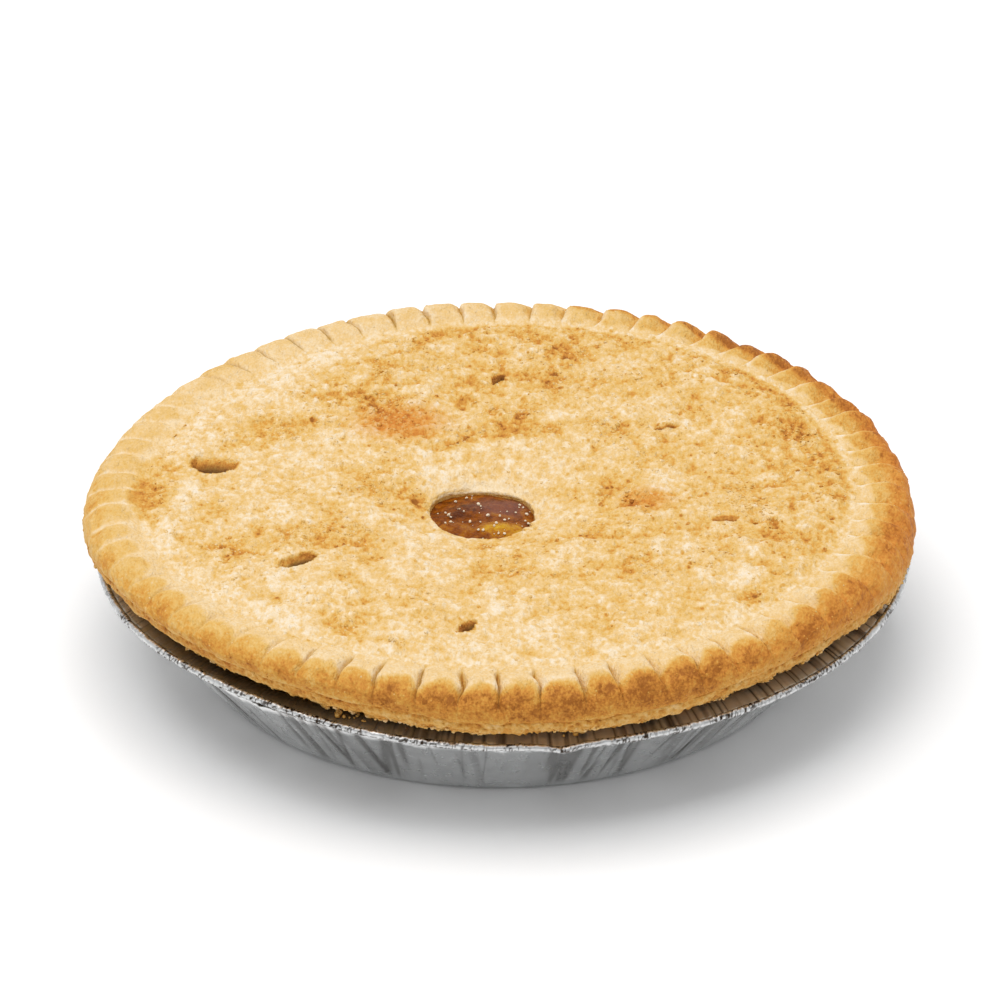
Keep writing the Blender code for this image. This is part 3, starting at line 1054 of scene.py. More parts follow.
    def tears(self, place: Array) -> tuple[Array, Array, Array, Array]:
        """Find the vents and the torn ledges.

        Args:
            place: Points of the lid before its relief.

        Returns:
            How deep the vents are and what share that is of their full depth, where
            they have a lip, and how far the crust is sunk behind a ledge.
        """
        x, y = place[..., 0], place[..., 1]
        wandering = x + 0.3 * lumps(place, 2.0, 23.0)
        vents = sum(vent.at(wandering, y) for vent in VENTS)
        sunk = sum(vent.at(wandering, y) / vent.depth for vent in VENTS)
        beside = sum(vent.at(wandering, y + 1.1) for vent in VENTS)
        lip = smooth_rise(0.3, 0.8, beside) * (vents < 0.05)
        torn_x = x + 0.8 * lumps(place, 3.0, 24.0)
        torn_y = y + 0.8 * lumps(place, 3.0, 25.0)
        return vents, sunk, lip, sum(ledge.at(torn_x, torn_y) for ledge in LEDGES)

    def sheet(self) -> Sheet:
        """Shape the lid.

        Returns:
            One closed sheet with its marks.
        """
        radii, depths, levels = self.rows()
        angle = PLAN.angles(self.sides)[None, :]
        depth = depths[:, None]
        radius, near_hole, ragged = self.near_the_hole(radii, angle)
        x, y, lift = PLAN.lid_place(radius, angle)
        height = PLAN.lid_height(x, y) + lift - 0.3 * smooth_rise(89.0, 96.0, radius)
        from_edge = radius - PLAN.hole_radius
        slope = 1.1 * bell(angle, 80.0, 70.0) * np.exp(-np.abs(from_edge) / 1.7)
        height = height - depth - 0.35 * np.abs(ragged) * near_hole - slope
        hidden = ~np.isnan(levels)[:, None]
        open_share = np.where(depth < 0.3, 1.0, 0.0) * ~hidden
        soft = bell(angle, 85.0, 75.0) * np.exp(-((from_edge / 3.0) ** 2))
        bake = self.bake(x, y, radius)
        bake = bake - (bake + 0.08) * soft
        place = points_at(x, y, height)
        relief = self.crumb(place, bake) * open_share * (1.0 - 0.6 * soft)
        fade = 1.0 - 0.85 * smooth_rise(92.5, 96.0, radius)
        relief = relief * fade * (1.0 - 0.5 * near_hole)
        vents, sunk, lip, torn = self.tears(place)
        relief = relief * (1.0 - smooth_rise(0.0, 0.1, sunk))
        height = height + relief - (vents + 1.5 * torn - 0.15 * lip) * open_share
        height = np.where(hidden, np.nan_to_num(levels)[:, None] + lift, height)
        place = points_at(x, y, height)
        upright = 1.0 - np.abs(Sheet(self.name, place).normals()[..., 2])
        steep_shade = smooth_rise(0.12, 0.5, upright) * open_share
        in_vent = smooth_rise(0.02, 0.25, sunk)
        # The crust sunk behind each ledge is browned as painted shade, and each vent's front lip is
        # paled as a painted highlight.
        bake = bake + 0.6 * smooth_rise(0.1, 0.5, torn) - 0.1 * lip
        # The hole's wall is browned, the more the lower it goes, and steep faces too: painted warm
        # shade.
        bake = np.where(depth > 0.8, 0.6 + 0.05 * depth, bake) + 0.8 * in_vent
        bake = np.minimum(bake + 0.8 * steep_shade * (1.0 - 0.6 * soft), 1.0 + 0.6 * in_vent)
        # Painted shade in the deepest part of each vent.
        painted_shade_and_scorch = 0.92 * smooth_rise(0.16, 0.46, sunk) * smooth_rise(0.2, 2.2, vents) * open_share
        coarse = (1.0 - 0.6 * smooth_rise(0.02, 0.2, sunk)) * (1.0 - 0.7 * soft)
        ruddy = sum(patch.at(x, y) for patch in self.ruddy_patches)
        marks = {"bake": bake, "rise": relief / 0.65, "ruddy": ruddy, "painted_shade_and_scorch": painted_shade_and_scorch}
        sparse = np.where(radii < self.sparse_radius, 2, 1)
        thinning = np.where(radii < self.sparser_radius, 4, sparse)
        return Sheet(self.name, place, marks | {"coarse": coarse}, thinning)


LID = Lid()


@dataclass
class Rim:
    """The crimped edge, from the valley inside it over the crimps to the cut band."""

    name: str = "crust_rim"
    points_per_crimp: int = 20
    ridge: Section = (
        (92.0, 43.4), (96.0, 44.95), (98.6, 45.5), (101.8, 46.4), (105.0, 46.8), (108.2, 46.0),
        (111.0, 43.9), (112.6, 41.0), (112.9, 37.9), (111.9, 36.6),
    )
    groove: Section = (
        (92.0, 43.4), (96.0, 44.9), (98.6, 45.1), (101.8, 44.7), (104.9, 44.2), (107.7, 44.1),
        (110.6, 43.0), (112.4, 40.7), (112.9, 37.9), (111.9, 36.6),
    )
    hidden: Section = ((108.0, 37.2), (99.0, 38.4), (92.0, 40.5))
    rows: int = 64
    deepest_groove: float = 2.5
    arch: float = 2.4
    crook: float = 0.012
    cut_width: float = 0.035
    cut_depth: float = 1.5
    line_sway: Layers = ((0.35, 5.0, 31.0), (0.2, 2.0, 32.0))
    mottle: Layers = ((0.12, 7.0, 34.0), (0.08, 3.4, 36.0))
    fine_relief: Layers = ((0.16, 1.3, 42.0), (0.24, 2.8, 43.0))
    # Direction, how deep the grooves are cut and how full the crimps are, where along the
    # section the crust browns and how much, where the outer face begins and how brown it
    # is, and how brown the line in each groove is: painted shade where the line is dark, a
    # painted highlight where it is pale.
    round_edge: Table = (
        (-180, 0.30, 2.4, 2.2, 0.46, 4.4, 0.58, 0.00),
        (-165, 0.28, 2.4, 2.6, 0.46, 4.4, 0.66, 0.00),
        (-150, 0.25, 3.0, 3.2, 0.60, 4.6, 0.80, 0.30),
        (-130, 0.16, 4.0, 3.6, 0.62, 4.8, 0.86, 0.60),
        (-112, 0.70, 5.0, 3.9, 0.78, 4.8, 1.06, 1.00),
        (-90, 1.00, 5.0, 4.15, 0.86, 4.8, 1.38, 1.30),
        (-60, 1.00, 5.0, 3.95, 0.80, 4.8, 1.20, 1.10),
        (-35, 1.00, 4.0, 3.35, 0.78, 4.6, 1.06, 0.80),
        (-10, 1.10, 3.0, 2.4, 0.70, 4.0, 1.06, 0.40),
        (20, 1.30, 2.6, 1.8, 0.68, 3.6, 1.20, 0.40),
        (50, 1.30, 2.6, 1.7, 0.64, 3.2, 1.34, 0.40),
        (75, 0.90, 4.0, 1.8, 0.44, 3.9, 1.02, 0.40),
        (95, 0.60, 7.0, 2.3, 0.26, 4.6, 0.56, 0.95),
        (120, 0.42, 5.0, 2.7, 0.20, 4.8, 0.38, 0.70),
        (150, 0.32, 2.8, 2.4, 0.34, 4.6, 0.50, 0.05),
    )

    def directions(self) -> tuple[Array, Array, Array]:
        """Lay out the columns, closer together near the grooves.

        Returns:
            Each column's direction, its crimp's number, and its place across the crimp.
        """
        grooves, _, _ = PLAN.crimp_draws()
        step = np.arange(self.points_per_crimp) / self.points_per_crimp
        share = 0.5 * step + 0.25 * (1.0 - np.cos(math.pi * step))
        ends = np.append(grooves[1:], grooves[0] + math.tau)
        angle = grooves[:, None] + (ends - grooves)[:, None] * share
        number = np.repeat(np.arange(len(grooves)), self.points_per_crimp)
        return angle.ravel(), number, np.tile(share, len(grooves))

    def crimps(
        self, along: Array, angle: Array, number: Array, middle: Array
    ) -> tuple[Array, Array, Array]:
        """Raise the crimps between their grooves.

        Args:
            along: Each row's place along the section.
            angle: Each column's direction.
            number: The crimp that it is on.
            middle: Its place across the crimp, from 0 to 1.

        Returns:
            The radius and height of each point, and each row's share of the deepest
            groove.
        """
        _, heights, reaches = PLAN.crimp_draws()
        ridge = curve_through(np.array(self.ridge), along)
        groove = curve_through(np.array(self.groove), along)
        depth = (ridge[:, 1] - groove[:, 1])[:, None] / self.deepest_groove
        strength = round_the_pie(self.round_edge, 1, angle)[None, :]
        fullness = round_the_pie(self.round_edge, 2, angle)[None, :]
        pillow = 1.0 - np.abs(1.0 - 2.0 * middle) ** fullness
        raised = 1.0 - (1.0 - pillow) * strength
        radius, height = (
            groove[:, k : k + 1] + raised * (ridge - groove)[:, k : k + 1] + pillow * depth * extra
            for k, extra in enumerate((reaches[number], heights[number]))
        )
        return radius, height, depth

    def sway(self, along: Array, number: Array, share: Array) -> Array:
        """Find how far each point is moved aside with the crooked grooves beside it.

        Args:
            along: Each row's place along the section.
            number: Each column's crimp.
            share: Its place across the crimp.

        Returns:
            A share of the largest move, from -1 to 1.
        """
        first, second = (
            lumps(points_at(along[:, None] * 0.9, groove[None, :] * 7.0, 0.0), 1.7, 41.0)
            for groove in (number, (number + 1) % PLAN.crimps)
        )
        return first * (1.0 - share) + second * share

    def bake(self, along: Array, angle: Array, arch: Array, place: Array) -> Array:
        """Find how baked the edge is before its grooves are marked.

        Args:
            along: Each point's place along the section.
            angle: Its direction.
            arch: 1 at the middle of its crimp and 0 at the grooves.
            place: The points.

        Returns:
            The mark bake at each point.
        """
        start, top, face, outer = (
            round_the_pie(self.round_edge, column, angle) for column in range(3, 7)
        )
        x, y = place[..., 0], place[..., 1]
        inner = LID.bake(x, y, np.hypot(x - PLAN.crust_x, y))
        line = layers(place, self.line_sway, along - 0.9 * (1.0 - arch))
        bake = inner + (top - inner) * smooth_rise(-0.2, 0.55, line - start)
        bake = bake + (outer - top) * smooth_rise(0.0, 1.1, line - face + 0.3)
        bake = bake - 0.12 * smooth_rise(1.4, 2.6, line - face) * bell(angle, -70.0, 60.0)
        bake = bake + layers(place, self.mottle) * smooth_rise(3.0, 4.4, along)
        return bake - 0.22 * smooth_rise(7.2, 8.3, along + 0.3 * lumps(place, 3.0, 35.0))

    def relief(self, place: Array, along: Array) -> Array:
        """Find how high the fine relief on the crimps and the outer face is.

        Args:
            place: Points of the edge.
            along: Their places along the section.

        Returns:
            The height over the smooth edge.
        """
        top = 1.0 - smooth_rise(4.6, 6.0, along)
        pits = 0.22 * np.clip(0.42 - grains(place, 2.3, 45.0), 0.0, 1.0)
        rough = (1.2 - 0.5 * top) * layers(place, self.fine_relief)
        return rough + 0.28 * lumps(place, 6.0, 44.0) - pits - 0.12

    def closed(self, place: Array, marks: dict[str, Array], angle: Array) -> Sheet:
        """Add the hidden rows that close the sheet under the crust.

        Args:
            place: Points of the edge.
            marks: Their marks.
            angle: The first row's directions.

        Returns:
            The closed sheet.
        """
        reach, lift = PLAN.swell(angle)
        extra = []
        for radius, height in self.hidden:
            x = PLAN.crust_x + (radius + reach) * np.cos(angle)
            extra.append(points_at(x, (radius + reach) * np.sin(angle), height + lift))
        extra.append(place[0])
        for name, values in marks.items():
            marks[name] = np.concatenate([values, np.repeat(values[:1], len(extra), axis=0)])
        return Sheet(self.name, np.concatenate([place, np.stack(extra)]), marks)

    def sheet(self) -> Sheet:
        """Shape the crimped edge.

        Returns:
            One closed sheet with its marks.
        """
        angle, number, share = self.directions()
        rows = np.linspace(0.0, len(self.ridge) - 1, self.rows)
        shingled = bell(angle, 22.0, 55.0) ** 0.7
        middle = (share ** (1.1 + 1.5 * shingled))[None, :]
        radius, height, depth = self.crimps(rows, angle, number, middle)
        nearest = np.minimum(share, 1.0 - share)[None, :]
        cut = np.exp(-((nearest / self.cut_width) ** 2)) * np.clip(depth * 1.3, 0.0, 1.0)
        strength = np.clip(round_the_pie(self.round_edge, 1, angle)[None, :], 0.0, 1.0)
        dark = smooth_rise(0.1, 0.5, round_the_pie(self.round_edge, 7, angle)) * (1.0 - shingled)
        varied = 0.75 + 0.5 * cell_value(points_at(number, 0.0, 0.0), 5.0)
        height = height - self.cut_depth * cut * strength * varied * dark
        aside = self.crook * self.sway(rows, number, share) * np.clip(depth, 0.0, 1.0)
        direction = angle[None, :] + aside
        reach, lift = PLAN.swell(direction)
        x = PLAN.crust_x + (radius + reach) * np.cos(direction)
        place = points_at(x, (radius + reach) * np.sin(direction), height + lift)
        along = np.broadcast_to(rows[:, None], x.shape)
        arch = 1.0 - np.abs(1.0 - 2.0 * middle) ** self.arch
        bake = self.bake(along, direction, np.broadcast_to(arch, x.shape), place)
        # The groove lines are drawn towards the table's tone: painted shade in the dark lines, a
        # painted highlight in the pale ones.
        painted_crease_shading = round_the_pie(self.round_edge, 7, direction)
        width = 0.022 + 0.05 * (painted_crease_shading < 0.2)
        line = np.exp(-((nearest / width) ** 2)) * np.clip(depth * 2.5, 0.0, 1.0)
        quiet = 1.0 - 0.85 * bell(direction, -132.0, 20.0)
        bake = bake + (painted_crease_shading - bake) * 0.9 * line * (1.0 - shingled) * quiet
        varied = cell_value(points_at(number, number, number), 8.0) - 0.5
        bake = bake + 0.2 * varied * smooth_rise(3.6, 4.8, along)
        # Each shingled lobe is browned on one side and paled on the other: painted shade and light.
        lobe_shading = 0.6 * np.exp(-share / 0.2) - 0.6 * smooth_rise(0.7, 0.92, share)
        on_top = smooth_rise(1.2, 2.2, along) * (1.0 - smooth_rise(4.6, 5.4, along))
        bake = bake + shingled * lobe_shading * on_top
        relief = self.relief(place, along)
        facing = Sheet(self.name, place).normals()
        facing = facing * np.sign(facing[len(facing) // 2, :, 2].mean())
        place = place + facing * (relief * smooth_rise(0.6, 1.6, along))[..., None]
        place = PLAN.settle(place, direction)
        ruddy = 0.33 * bell(direction, 10.0, 55.0) * smooth_rise(3.0, 6.0, along)
        ruddy = ruddy + 0.04 * smooth_rise(5.0, 6.5, along)
        burnt = smooth_rise(0.5, 0.66, lumps(place, 1.2, 47.0)) * bell(direction, 35.0, 45.0)
        burnt = burnt * smooth_rise(3.4, 4.4, along)
        marks = {"bake": bake + 0.6 * burnt, "rise": relief, "ruddy": ruddy}
        # Scorched spots, and painted shade along the dark groove lines.
        marks["painted_shade_and_scorch"] = 0.2 * burnt + 0.5 * line * dark * quiet
        smoother = (0.7 - 0.16 * smooth_rise(4.4, 5.4, along)) * smooth_rise(1.0, 2.2, along)
        marks["coarse"] = 1.0 - smoother
        return self.closed(place, marks, direction[0])


@dataclass
class BottomCrust:
    """The bottom crust, whose torn pale edge shows below the crimped rim."""

    name: str = "crust_bottom"
    sides: int = 1280
    band: Section = (
        (110.6, 38.2), (112.2, 37.4), (112.5, 36.2), (112.2, 35.0), (111.5, 34.0),
        (110.4, 33.1), (109.0, 32.4), (107.4, 31.8), (105.6, 31.6), (103.4, 31.5),
    )
    band_rows: int = 30
    crumb: Layers = ((0.3, 1.4, 53.0), (0.35, 4.0, 54.0))
    top: Section = ((0.0, 35.0), (60.0, 35.0), (100.0, 36.4))
    foot: Section = (
        (101.4, 31.0), (100.6, 23.5), (82.6, 2.3), (80.9, 1.0), (0.0, 0.9),
    )

    def sheet(self) -> Sheet:
        """Shape the bottom crust.

        Returns:
            One closed sheet with its marks.
        """
        angle = PLAN.angles(self.sides)
        along = np.linspace(0.0, len(self.band) - 1, self.band_rows)
        band = curve_through(np.array(self.band), along)
        section = np.concatenate([np.array(self.top), band, np.array(self.foot)])
        reach, lift = PLAN.swell(angle)
        share = np.clip((section[:, 1] - 24.0) / 9.0, 0.0, 1.0)[:, None]
        share = share * np.clip(section[:, :1] / 90.0, 0.0, 1.0)
        radius = section[:, :1] + reach * share
        x = PLAN.crust_x * share + radius * np.cos(angle)
        place = points_at(x, radius * np.sin(angle), section[:, 1:] + lift * share)
        settled = PLAN.settle(place, np.broadcast_to(angle, x.shape))
        place = place + (settled - place) * share[..., None] * (section[:, :1] > 100.0)[..., None]
        first = len(self.top)
        shown = np.zeros(len(section))
        ends = smooth_rise(0.2, 1.6, along) * smooth_rise(9.0, 8.0, along)
        shown[first : first + self.band_rows] = ends
        pits = np.clip(0.55 - grains(place, 1.1, 51.0), 0.0, 1.0)
        holes = np.clip(0.42 - grains(place, 2.4, 52.0), 0.0, 1.0)
        relief = layers(place, self.crumb) - 0.9 * pits - 1.2 * holes
        relief = relief * shown[:, None]
        facing = Sheet(self.name, place).normals()
        facing = facing * np.sign((facing * place)[first + 8, :, :2].sum())
        drop = shown * smooth_rise(3.5, 6.5, np.pad(along, (first, len(self.foot)), "edge"))
        place = place + facing * relief[..., None]
        place[..., 2] -= drop[:, None] * np.clip(1.3 * lumps(place, 1.5, 55.0), -0.3, 1.3)
        # Pits and holes are browned and darkened: painted shade.
        bake = 0.72 + 0.14 * lumps(place, 3.0, 56.0) + 0.5 * pits + 0.5 * holes
        bake = bake + 0.15 * smooth_rise(37.0, 38.5, place[..., 2])
        bake[:first] = 0.2
        marks = {"bake": bake, "rise": relief / 0.8, "painted_shade_and_scorch": 0.3 * pits + 0.6 * holes}
        marks |= {"ruddy": np.full_like(bake, 0.12), "coarse": np.full_like(bake, 0.4)}
        return Sheet(self.name, place, marks, np.where(shown > 0.0, 1, 8))


# ---------------------------------------------------------------- filling


@dataclass
class Filling:
    """The peach filling in the steam hole, reaching just into the crust's wall."""

    name: str = "peach_filling"
    level: float = 39.7
    reach: float = 16.4
    sides: int = 144
    rings: int = 46
    plug_radius: float = 13.8
    foot: float = 4.3
    syrup_tone: float = 0.3
    slice_curl: float = 0.02
    waves: Layers = ((0.25, 3.5, 61.0), (0.08, 1.2, 62.0))
    sky_reflection_patch: Patch = Patch(5.0, 5.0, 8.0, 4.5, 0, 0.6)
    # Each slice of peach: middle x and y from the hole's middle, half length, half
    # width, turn in degrees, height, and how yellow it is.
    slices: Table = (
        (-5.0, 3.0, 10.0, 4.6, 28, 1.1, 0.12), (5.5, -7.5, 9.0, 5.5, -20, 1.2, 0.80),
        (4.0, 6.5, 8.0, 4.0, 5, 0.8, 0.20), (-7.5, -6.5, 7.0, 4.0, -20, 1.0, 0.40),
    )

    def surface(self, x: Array, y: Array) -> tuple[Array, Array]:
        """Lay the slices of peach in the syrup.

        Args:
            x: The places' first coordinate from the hole's middle.
            y: Their second coordinate.

        Returns:
            The height of the filling and how yellow it is.
        """
        height = np.full_like(x, self.level)
        tone = np.full_like(x, self.syrup_tone)
        for middle_x, middle_y, long, wide, turn, rise, yellow in self.slices:
            u, v = turned(x, y, (middle_x, middle_y), turn)
            v = v + self.slice_curl * u * u
            dome = np.clip(1.0 - (u / long) ** 2 - (v / wide) ** 2, 0.0, 1.0)
            height = np.maximum(height, self.level - 0.3 + rise * dome**0.7)
            tone = tone + (yellow - tone) * smooth_rise(0.0, 0.9, dome)
        return height, tone

    def sheet(self) -> Sheet:
        """Shape the filling.

        Returns:
            One closed sheet with its marks.
        """
        angle = PLAN.angles(self.sides)[None, :]
        rings = np.linspace(0.0, self.reach, self.rings)
        radius = np.append(rings, [self.plug_radius, self.plug_radius, 0.0])
        radius = np.repeat(radius[:, None], self.sides, axis=1)
        x, y = radius * np.cos(angle), radius * np.sin(angle)
        height, tone = self.surface(x, y)
        flat = points_at(x, y, 0.0)
        height = layers(flat, self.waves, height) - 0.5 * smooth_rise(11.5, 14.0, radius)
        height[self.rings] = self.level - 2.0
        height[self.rings + 1 :] = self.foot
        blurred_x, blurred_y = x + 1.5 * lumps(flat, 3.0, 63.0), y + 1.5 * lumps(flat, 3.0, 64.0)
        # Where the sky's reflection is painted on.
        painted_sky_reflection = self.sky_reflection_patch.at(blurred_x, blurred_y)
        place = points_at(x + PLAN.hole_x, y + PLAN.hole_y, height)
        return Sheet(self.name, place, {"tone": tone, "painted_sky_reflection": painted_sky_reflection})


# ---------------------------------------------------------------- tin


@dataclass(frozen=True)
class TinPlan:
    """The foil tin's section and the bends of its rim, as in its solid."""

    base_x: float = 0.2
    lean: float = 1.0
    thickness: float = 0.5
    base_radius: float = 82.6
    corner_radius: float = 3.0
    top_radius: float = 103.6
    top_height: float = 25.0
    bead_radius: float = 1.2
    bead_ring: float = 109.5
    bead_height: float = 28.5
    bend: tuple[float, float, float] = (-130.0, 24.0, 2.6)
    nick: tuple[float, float, float] = (-82.0, 2.2, 1.2)

    def lift(self, angle: Array) -> Array:
        """How far the bead is lifted in each direction."""
        (middle, spread, height), (nick, width, depth) = self.bend, self.nick
        return height * bell(angle, middle, spread) - depth * bell(angle, nick, width)

    def place(self, radius: Array, height: Array, angle: Array, share: Array) -> Array:
        """Bend the round tin.

        Args:
            radius: How far its points are from the middle.
            height: How high they are.
            angle: Their directions.
            share: How much of the rim's bend they take.

        Returns:
            The points.
        """
        x = self.base_x + self.lean * np.clip(height / self.top_height, 0.0, 1.0)
        up = height + share * self.lift(angle)
        return points_at(x + radius * np.cos(angle), radius * np.sin(angle), up)


TIN = TinPlan()


@dataclass
class TinBody:
    """The tin's base and sloping side, with the soft slanted folds of pressed foil."""

    name: str = "tin_body"
    sides: int = 2400
    rows: int = 9
    fold_count: int = 400
    fold_width: float = 0.0085
    fold_height: float = 0.5
    seed: int = 11

    def side_curve(self) -> Array:
        """Follow the section from the base over its round corner up the side.

        Returns:
            Radius and height of its points.
        """
        slope = math.atan2(TIN.top_height, TIN.top_radius - TIN.base_radius)
        middle = TIN.base_radius - TIN.corner_radius * math.tan(slope / 2)
        points = [(middle - 6.0, 0.0)]
        for turn in np.linspace(0.0, slope, 6):
            out, up = math.sin(turn), 1.0 - math.cos(turn)
            points.append((middle + TIN.corner_radius * out, TIN.corner_radius * up))
        start = np.array(points[-1])
        end = np.array((TIN.top_radius, TIN.top_height))
        points += [tuple(start + (end - start) * k / self.rows) for k in range(1, self.rows + 1)]
        return np.array(points)

    def folds(self, angle: Array, height: Array) -> Array:
        """Press slanted folds into the side.

        Args:
            angle: Directions in radians.
            height: Heights over the base.

        Returns:
            How far the foil is raised at each direction and height.
        """
        rng = np.random.default_rng(self.seed)
        share = np.clip(height / TIN.top_height, 0.0, 1.0)
        total = np.zeros(np.broadcast(angle, height).shape)
        for _ in range(self.fold_count):
            middle, slant = rng.uniform(-math.pi, math.pi), rng.normal(0.0, 0.03)
            width = self.fold_width * rng.uniform(0.5, 1.3)
            size = self.fold_height * rng.choice((-1.0, 1.0)) * rng.uniform(0.2, 1.0)
            foot = rng.uniform(-0.6, 0.5)
            apart = (angle - middle - slant * (share - 0.5) + math.pi) % math.tau - math.pi
            reach = smooth_rise(foot, foot + 0.6, share)
            total = total + size * reach * np.exp(-np.abs(apart / width) ** 1.3)
        return total * smooth_rise(0.03, 0.2, share)

    def sheet(self) -> Sheet:
        """Shape the outside and inside of the tin's body.

        Returns:
            One closed sheet with its marks.
        """
        outside = self.side_curve()
        inwards = np.array((-TIN.thickness * 0.8, TIN.thickness * 0.6))
        inside = np.concatenate([outside[::-1] + inwards, [(0.0, inwards[1])]])
        outside = np.concatenate([[(0.0, 0.0)], outside])
        section = np.concatenate([outside, inside])
        angle = PLAN.angles(self.sides)[None, :]
        folds = self.folds(angle, section[:, 1:])
        radius = section[:, :1] + folds * 0.77
        height = section[:, 1:] - folds * 0.64 * (section[:, 1:] > 1.0)
        radius, height, angle = np.broadcast_arrays(radius, height, angle)
        stain_and_crust_reflection = np.zeros_like(radius)
        stain_and_crust_reflection[len(outside) :] = 0.55
        place = TIN.place(radius, height, angle, np.zeros_like(radius))
        # Painted shade in the fold valleys and along slanted streaks.
        painted_crease_shading = np.clip(-1.1 * folds / self.fold_height, 0.0, 0.5)
        slanted = angle + 0.03 * height / TIN.top_height
        line = points_at(100.0 * np.cos(slanted), 100.0 * np.sin(slanted), height * 0.05)
        streaks = 0.35 * smooth_rise(0.1, 0.6, lumps(line, 1.3, 75.0))
        painted_crease_shading = painted_crease_shading + streaks * smooth_rise(-0.2, 0.4, lumps(line, 6.0, 76.0))
        painted_crease_shading = np.broadcast_to(painted_crease_shading, radius.shape) * (height > 1.5)
        marks = {"stain_and_crust_reflection": stain_and_crust_reflection, "painted_crease_shading": painted_crease_shading, "crush": np.zeros_like(stain_and_crust_reflection)}
        return Sheet(self.name, place, marks)


@dataclass
class TinFlange:
    """The narrow pleated strip between the tin's side and its bead."""

    name: str = "tin_flange"
    sides: int = 2400
    rows: int = 13
    section: Section = (
        (102.5, 24.6), (102.7, 28.0), (103.2, 30.2), (104.6, 30.4), (106.2, 30.0),
        (107.7, 29.4), (109.0, 28.8),
    )
    pleat: float = 0.95
    pleat_depth: float = 0.4

    def sheet(self) -> Sheet:
        """Shape both faces of the flange.

        Returns:
            One closed sheet with its marks.
        """
        share = np.linspace(0.0, 1.0, self.rows)
        lower = curve_through(np.array(self.section), share * (len(self.section) - 1))
        upper = lower[::-1] + np.array((-0.14, 0.22))
        section = np.concatenate([lower, upper, lower[:1]])
        share = np.concatenate([share, share[::-1], share[:1]])[:, None]
        angle = PLAN.angles(self.sides)[None, :]
        line = points_at(np.cos(angle) * 107.0, np.sin(angle) * 107.0, 0.0)
        ripple = lumps(line, self.pleat, 71.0) + 0.6 * lumps(line, self.pleat * 2.3, 72.0)
        creases = np.clip(1.0 - 3.0 * np.abs(lumps(line, self.pleat * 1.7, 73.0)), 0.0, 1.0)
        pleats = self.pleat_depth * (0.55 * ripple - 0.8 * creases) * (0.35 + 0.65 * share)
        radius = section[:, :1] - 0.35 * pleats
        height = section[:, 1:] + 0.9 * pleats
        radius, height, angle, bend = np.broadcast_arrays(radius, height, angle, share)
        # The upper face is browned: partly a real syrup stain, partly a painted reflection of the
        # crust above it.
        stain_and_crust_reflection = np.zeros_like(radius)
        stain_and_crust_reflection[self.rows : 2 * self.rows] = 0.7
        # Painted shade: the front-left of the flange, under the crust's overhang, is browned and
        # darkened, and the pleat creases and the right side are darkened too.
        shaded = bell(angle, -128.0, 30.0)
        stain_and_crust_reflection = stain_and_crust_reflection * (0.85 - 0.25 * ripple) * (1.0 + 0.5 * shaded)
        painted_crease_shading = np.clip(creases * 0.75 - 0.2 * ripple, 0.0, 1.0) * np.ones_like(radius)
        painted_crease_shading = np.maximum(painted_crease_shading + 0.25 * bell(angle, -35.0, 35.0), 0.85 * shaded)
        place = TIN.place(radius, height, angle, smooth_rise(0.0, 1.0, bend))
        marks = {"stain_and_crust_reflection": stain_and_crust_reflection, "painted_crease_shading": painted_crease_shading, "crush": np.full_like(stain_and_crust_reflection, 0.3)}
        return Sheet(self.name, place, marks)


@dataclass
class TinBead:
    """The rolled bead round the tin's rim, finely crinkled."""

    name: str = "tin_bead"
    sides: int = 3000
    around: int = 15
    crinkle: float = 0.8
    crinkle_depth: float = 0.34

    def sheet(self) -> Sheet:
        """Shape the crinkled bead.

        Returns:
            One closed sheet with its marks.
        """
        turn = np.linspace(0.0, math.tau, self.around + 1)[:, None]
        angle = PLAN.angles(self.sides)[None, :]
        ring_x, ring_y = TIN.bead_ring * np.cos(angle), TIN.bead_ring * np.sin(angle)
        line = points_at(ring_x, ring_y, TIN.bead_radius * turn)
        line[-1] = line[0]
        ridges = 1.0 - 2.0 * np.abs(lumps(line, self.crinkle, 81.0))
        broad = lumps(line, self.crinkle * 3.0, 82.0)
        uneven = 0.55 + 0.45 * lumps(line, 14.0, 83.0)
        crush = self.crinkle_depth * (0.9 * ridges * uneven + 0.5 * broad)
        size = TIN.bead_radius * 0.76 + crush
        radius = TIN.bead_ring + size * np.cos(turn)
        height = TIN.bead_height + size * np.sin(turn)
        radius, height, angle = np.broadcast_arrays(radius, height, angle)
        place = TIN.place(radius, height, angle, np.ones_like(radius))
        marks = {"stain_and_crust_reflection": np.zeros_like(radius), "crush": np.ones_like(radius)}
        # Painted shade in the crinkles' wrinkles.
        wrinkles = np.abs(lumps(line, self.crinkle, 84.0))
        crowded = smooth_rise(-0.5, 0.2, lumps(line, 6.0, 85.0))
        marks["painted_crease_shading"] = (1.0 - smooth_rise(0.1, 0.28, wrinkles)) * crowded
        return Sheet(self.name, place, marks)


# ---------------------------------------------------------------- crumbs


class CrumbKind(Enum):
    """The kinds of small grains: how much paler they are than their ground, and how varied."""

    SUGAR = (-0.55, 0.1)
    PALE = (-0.38, 0.15)
    GOLDEN = (0.16, 0.16)


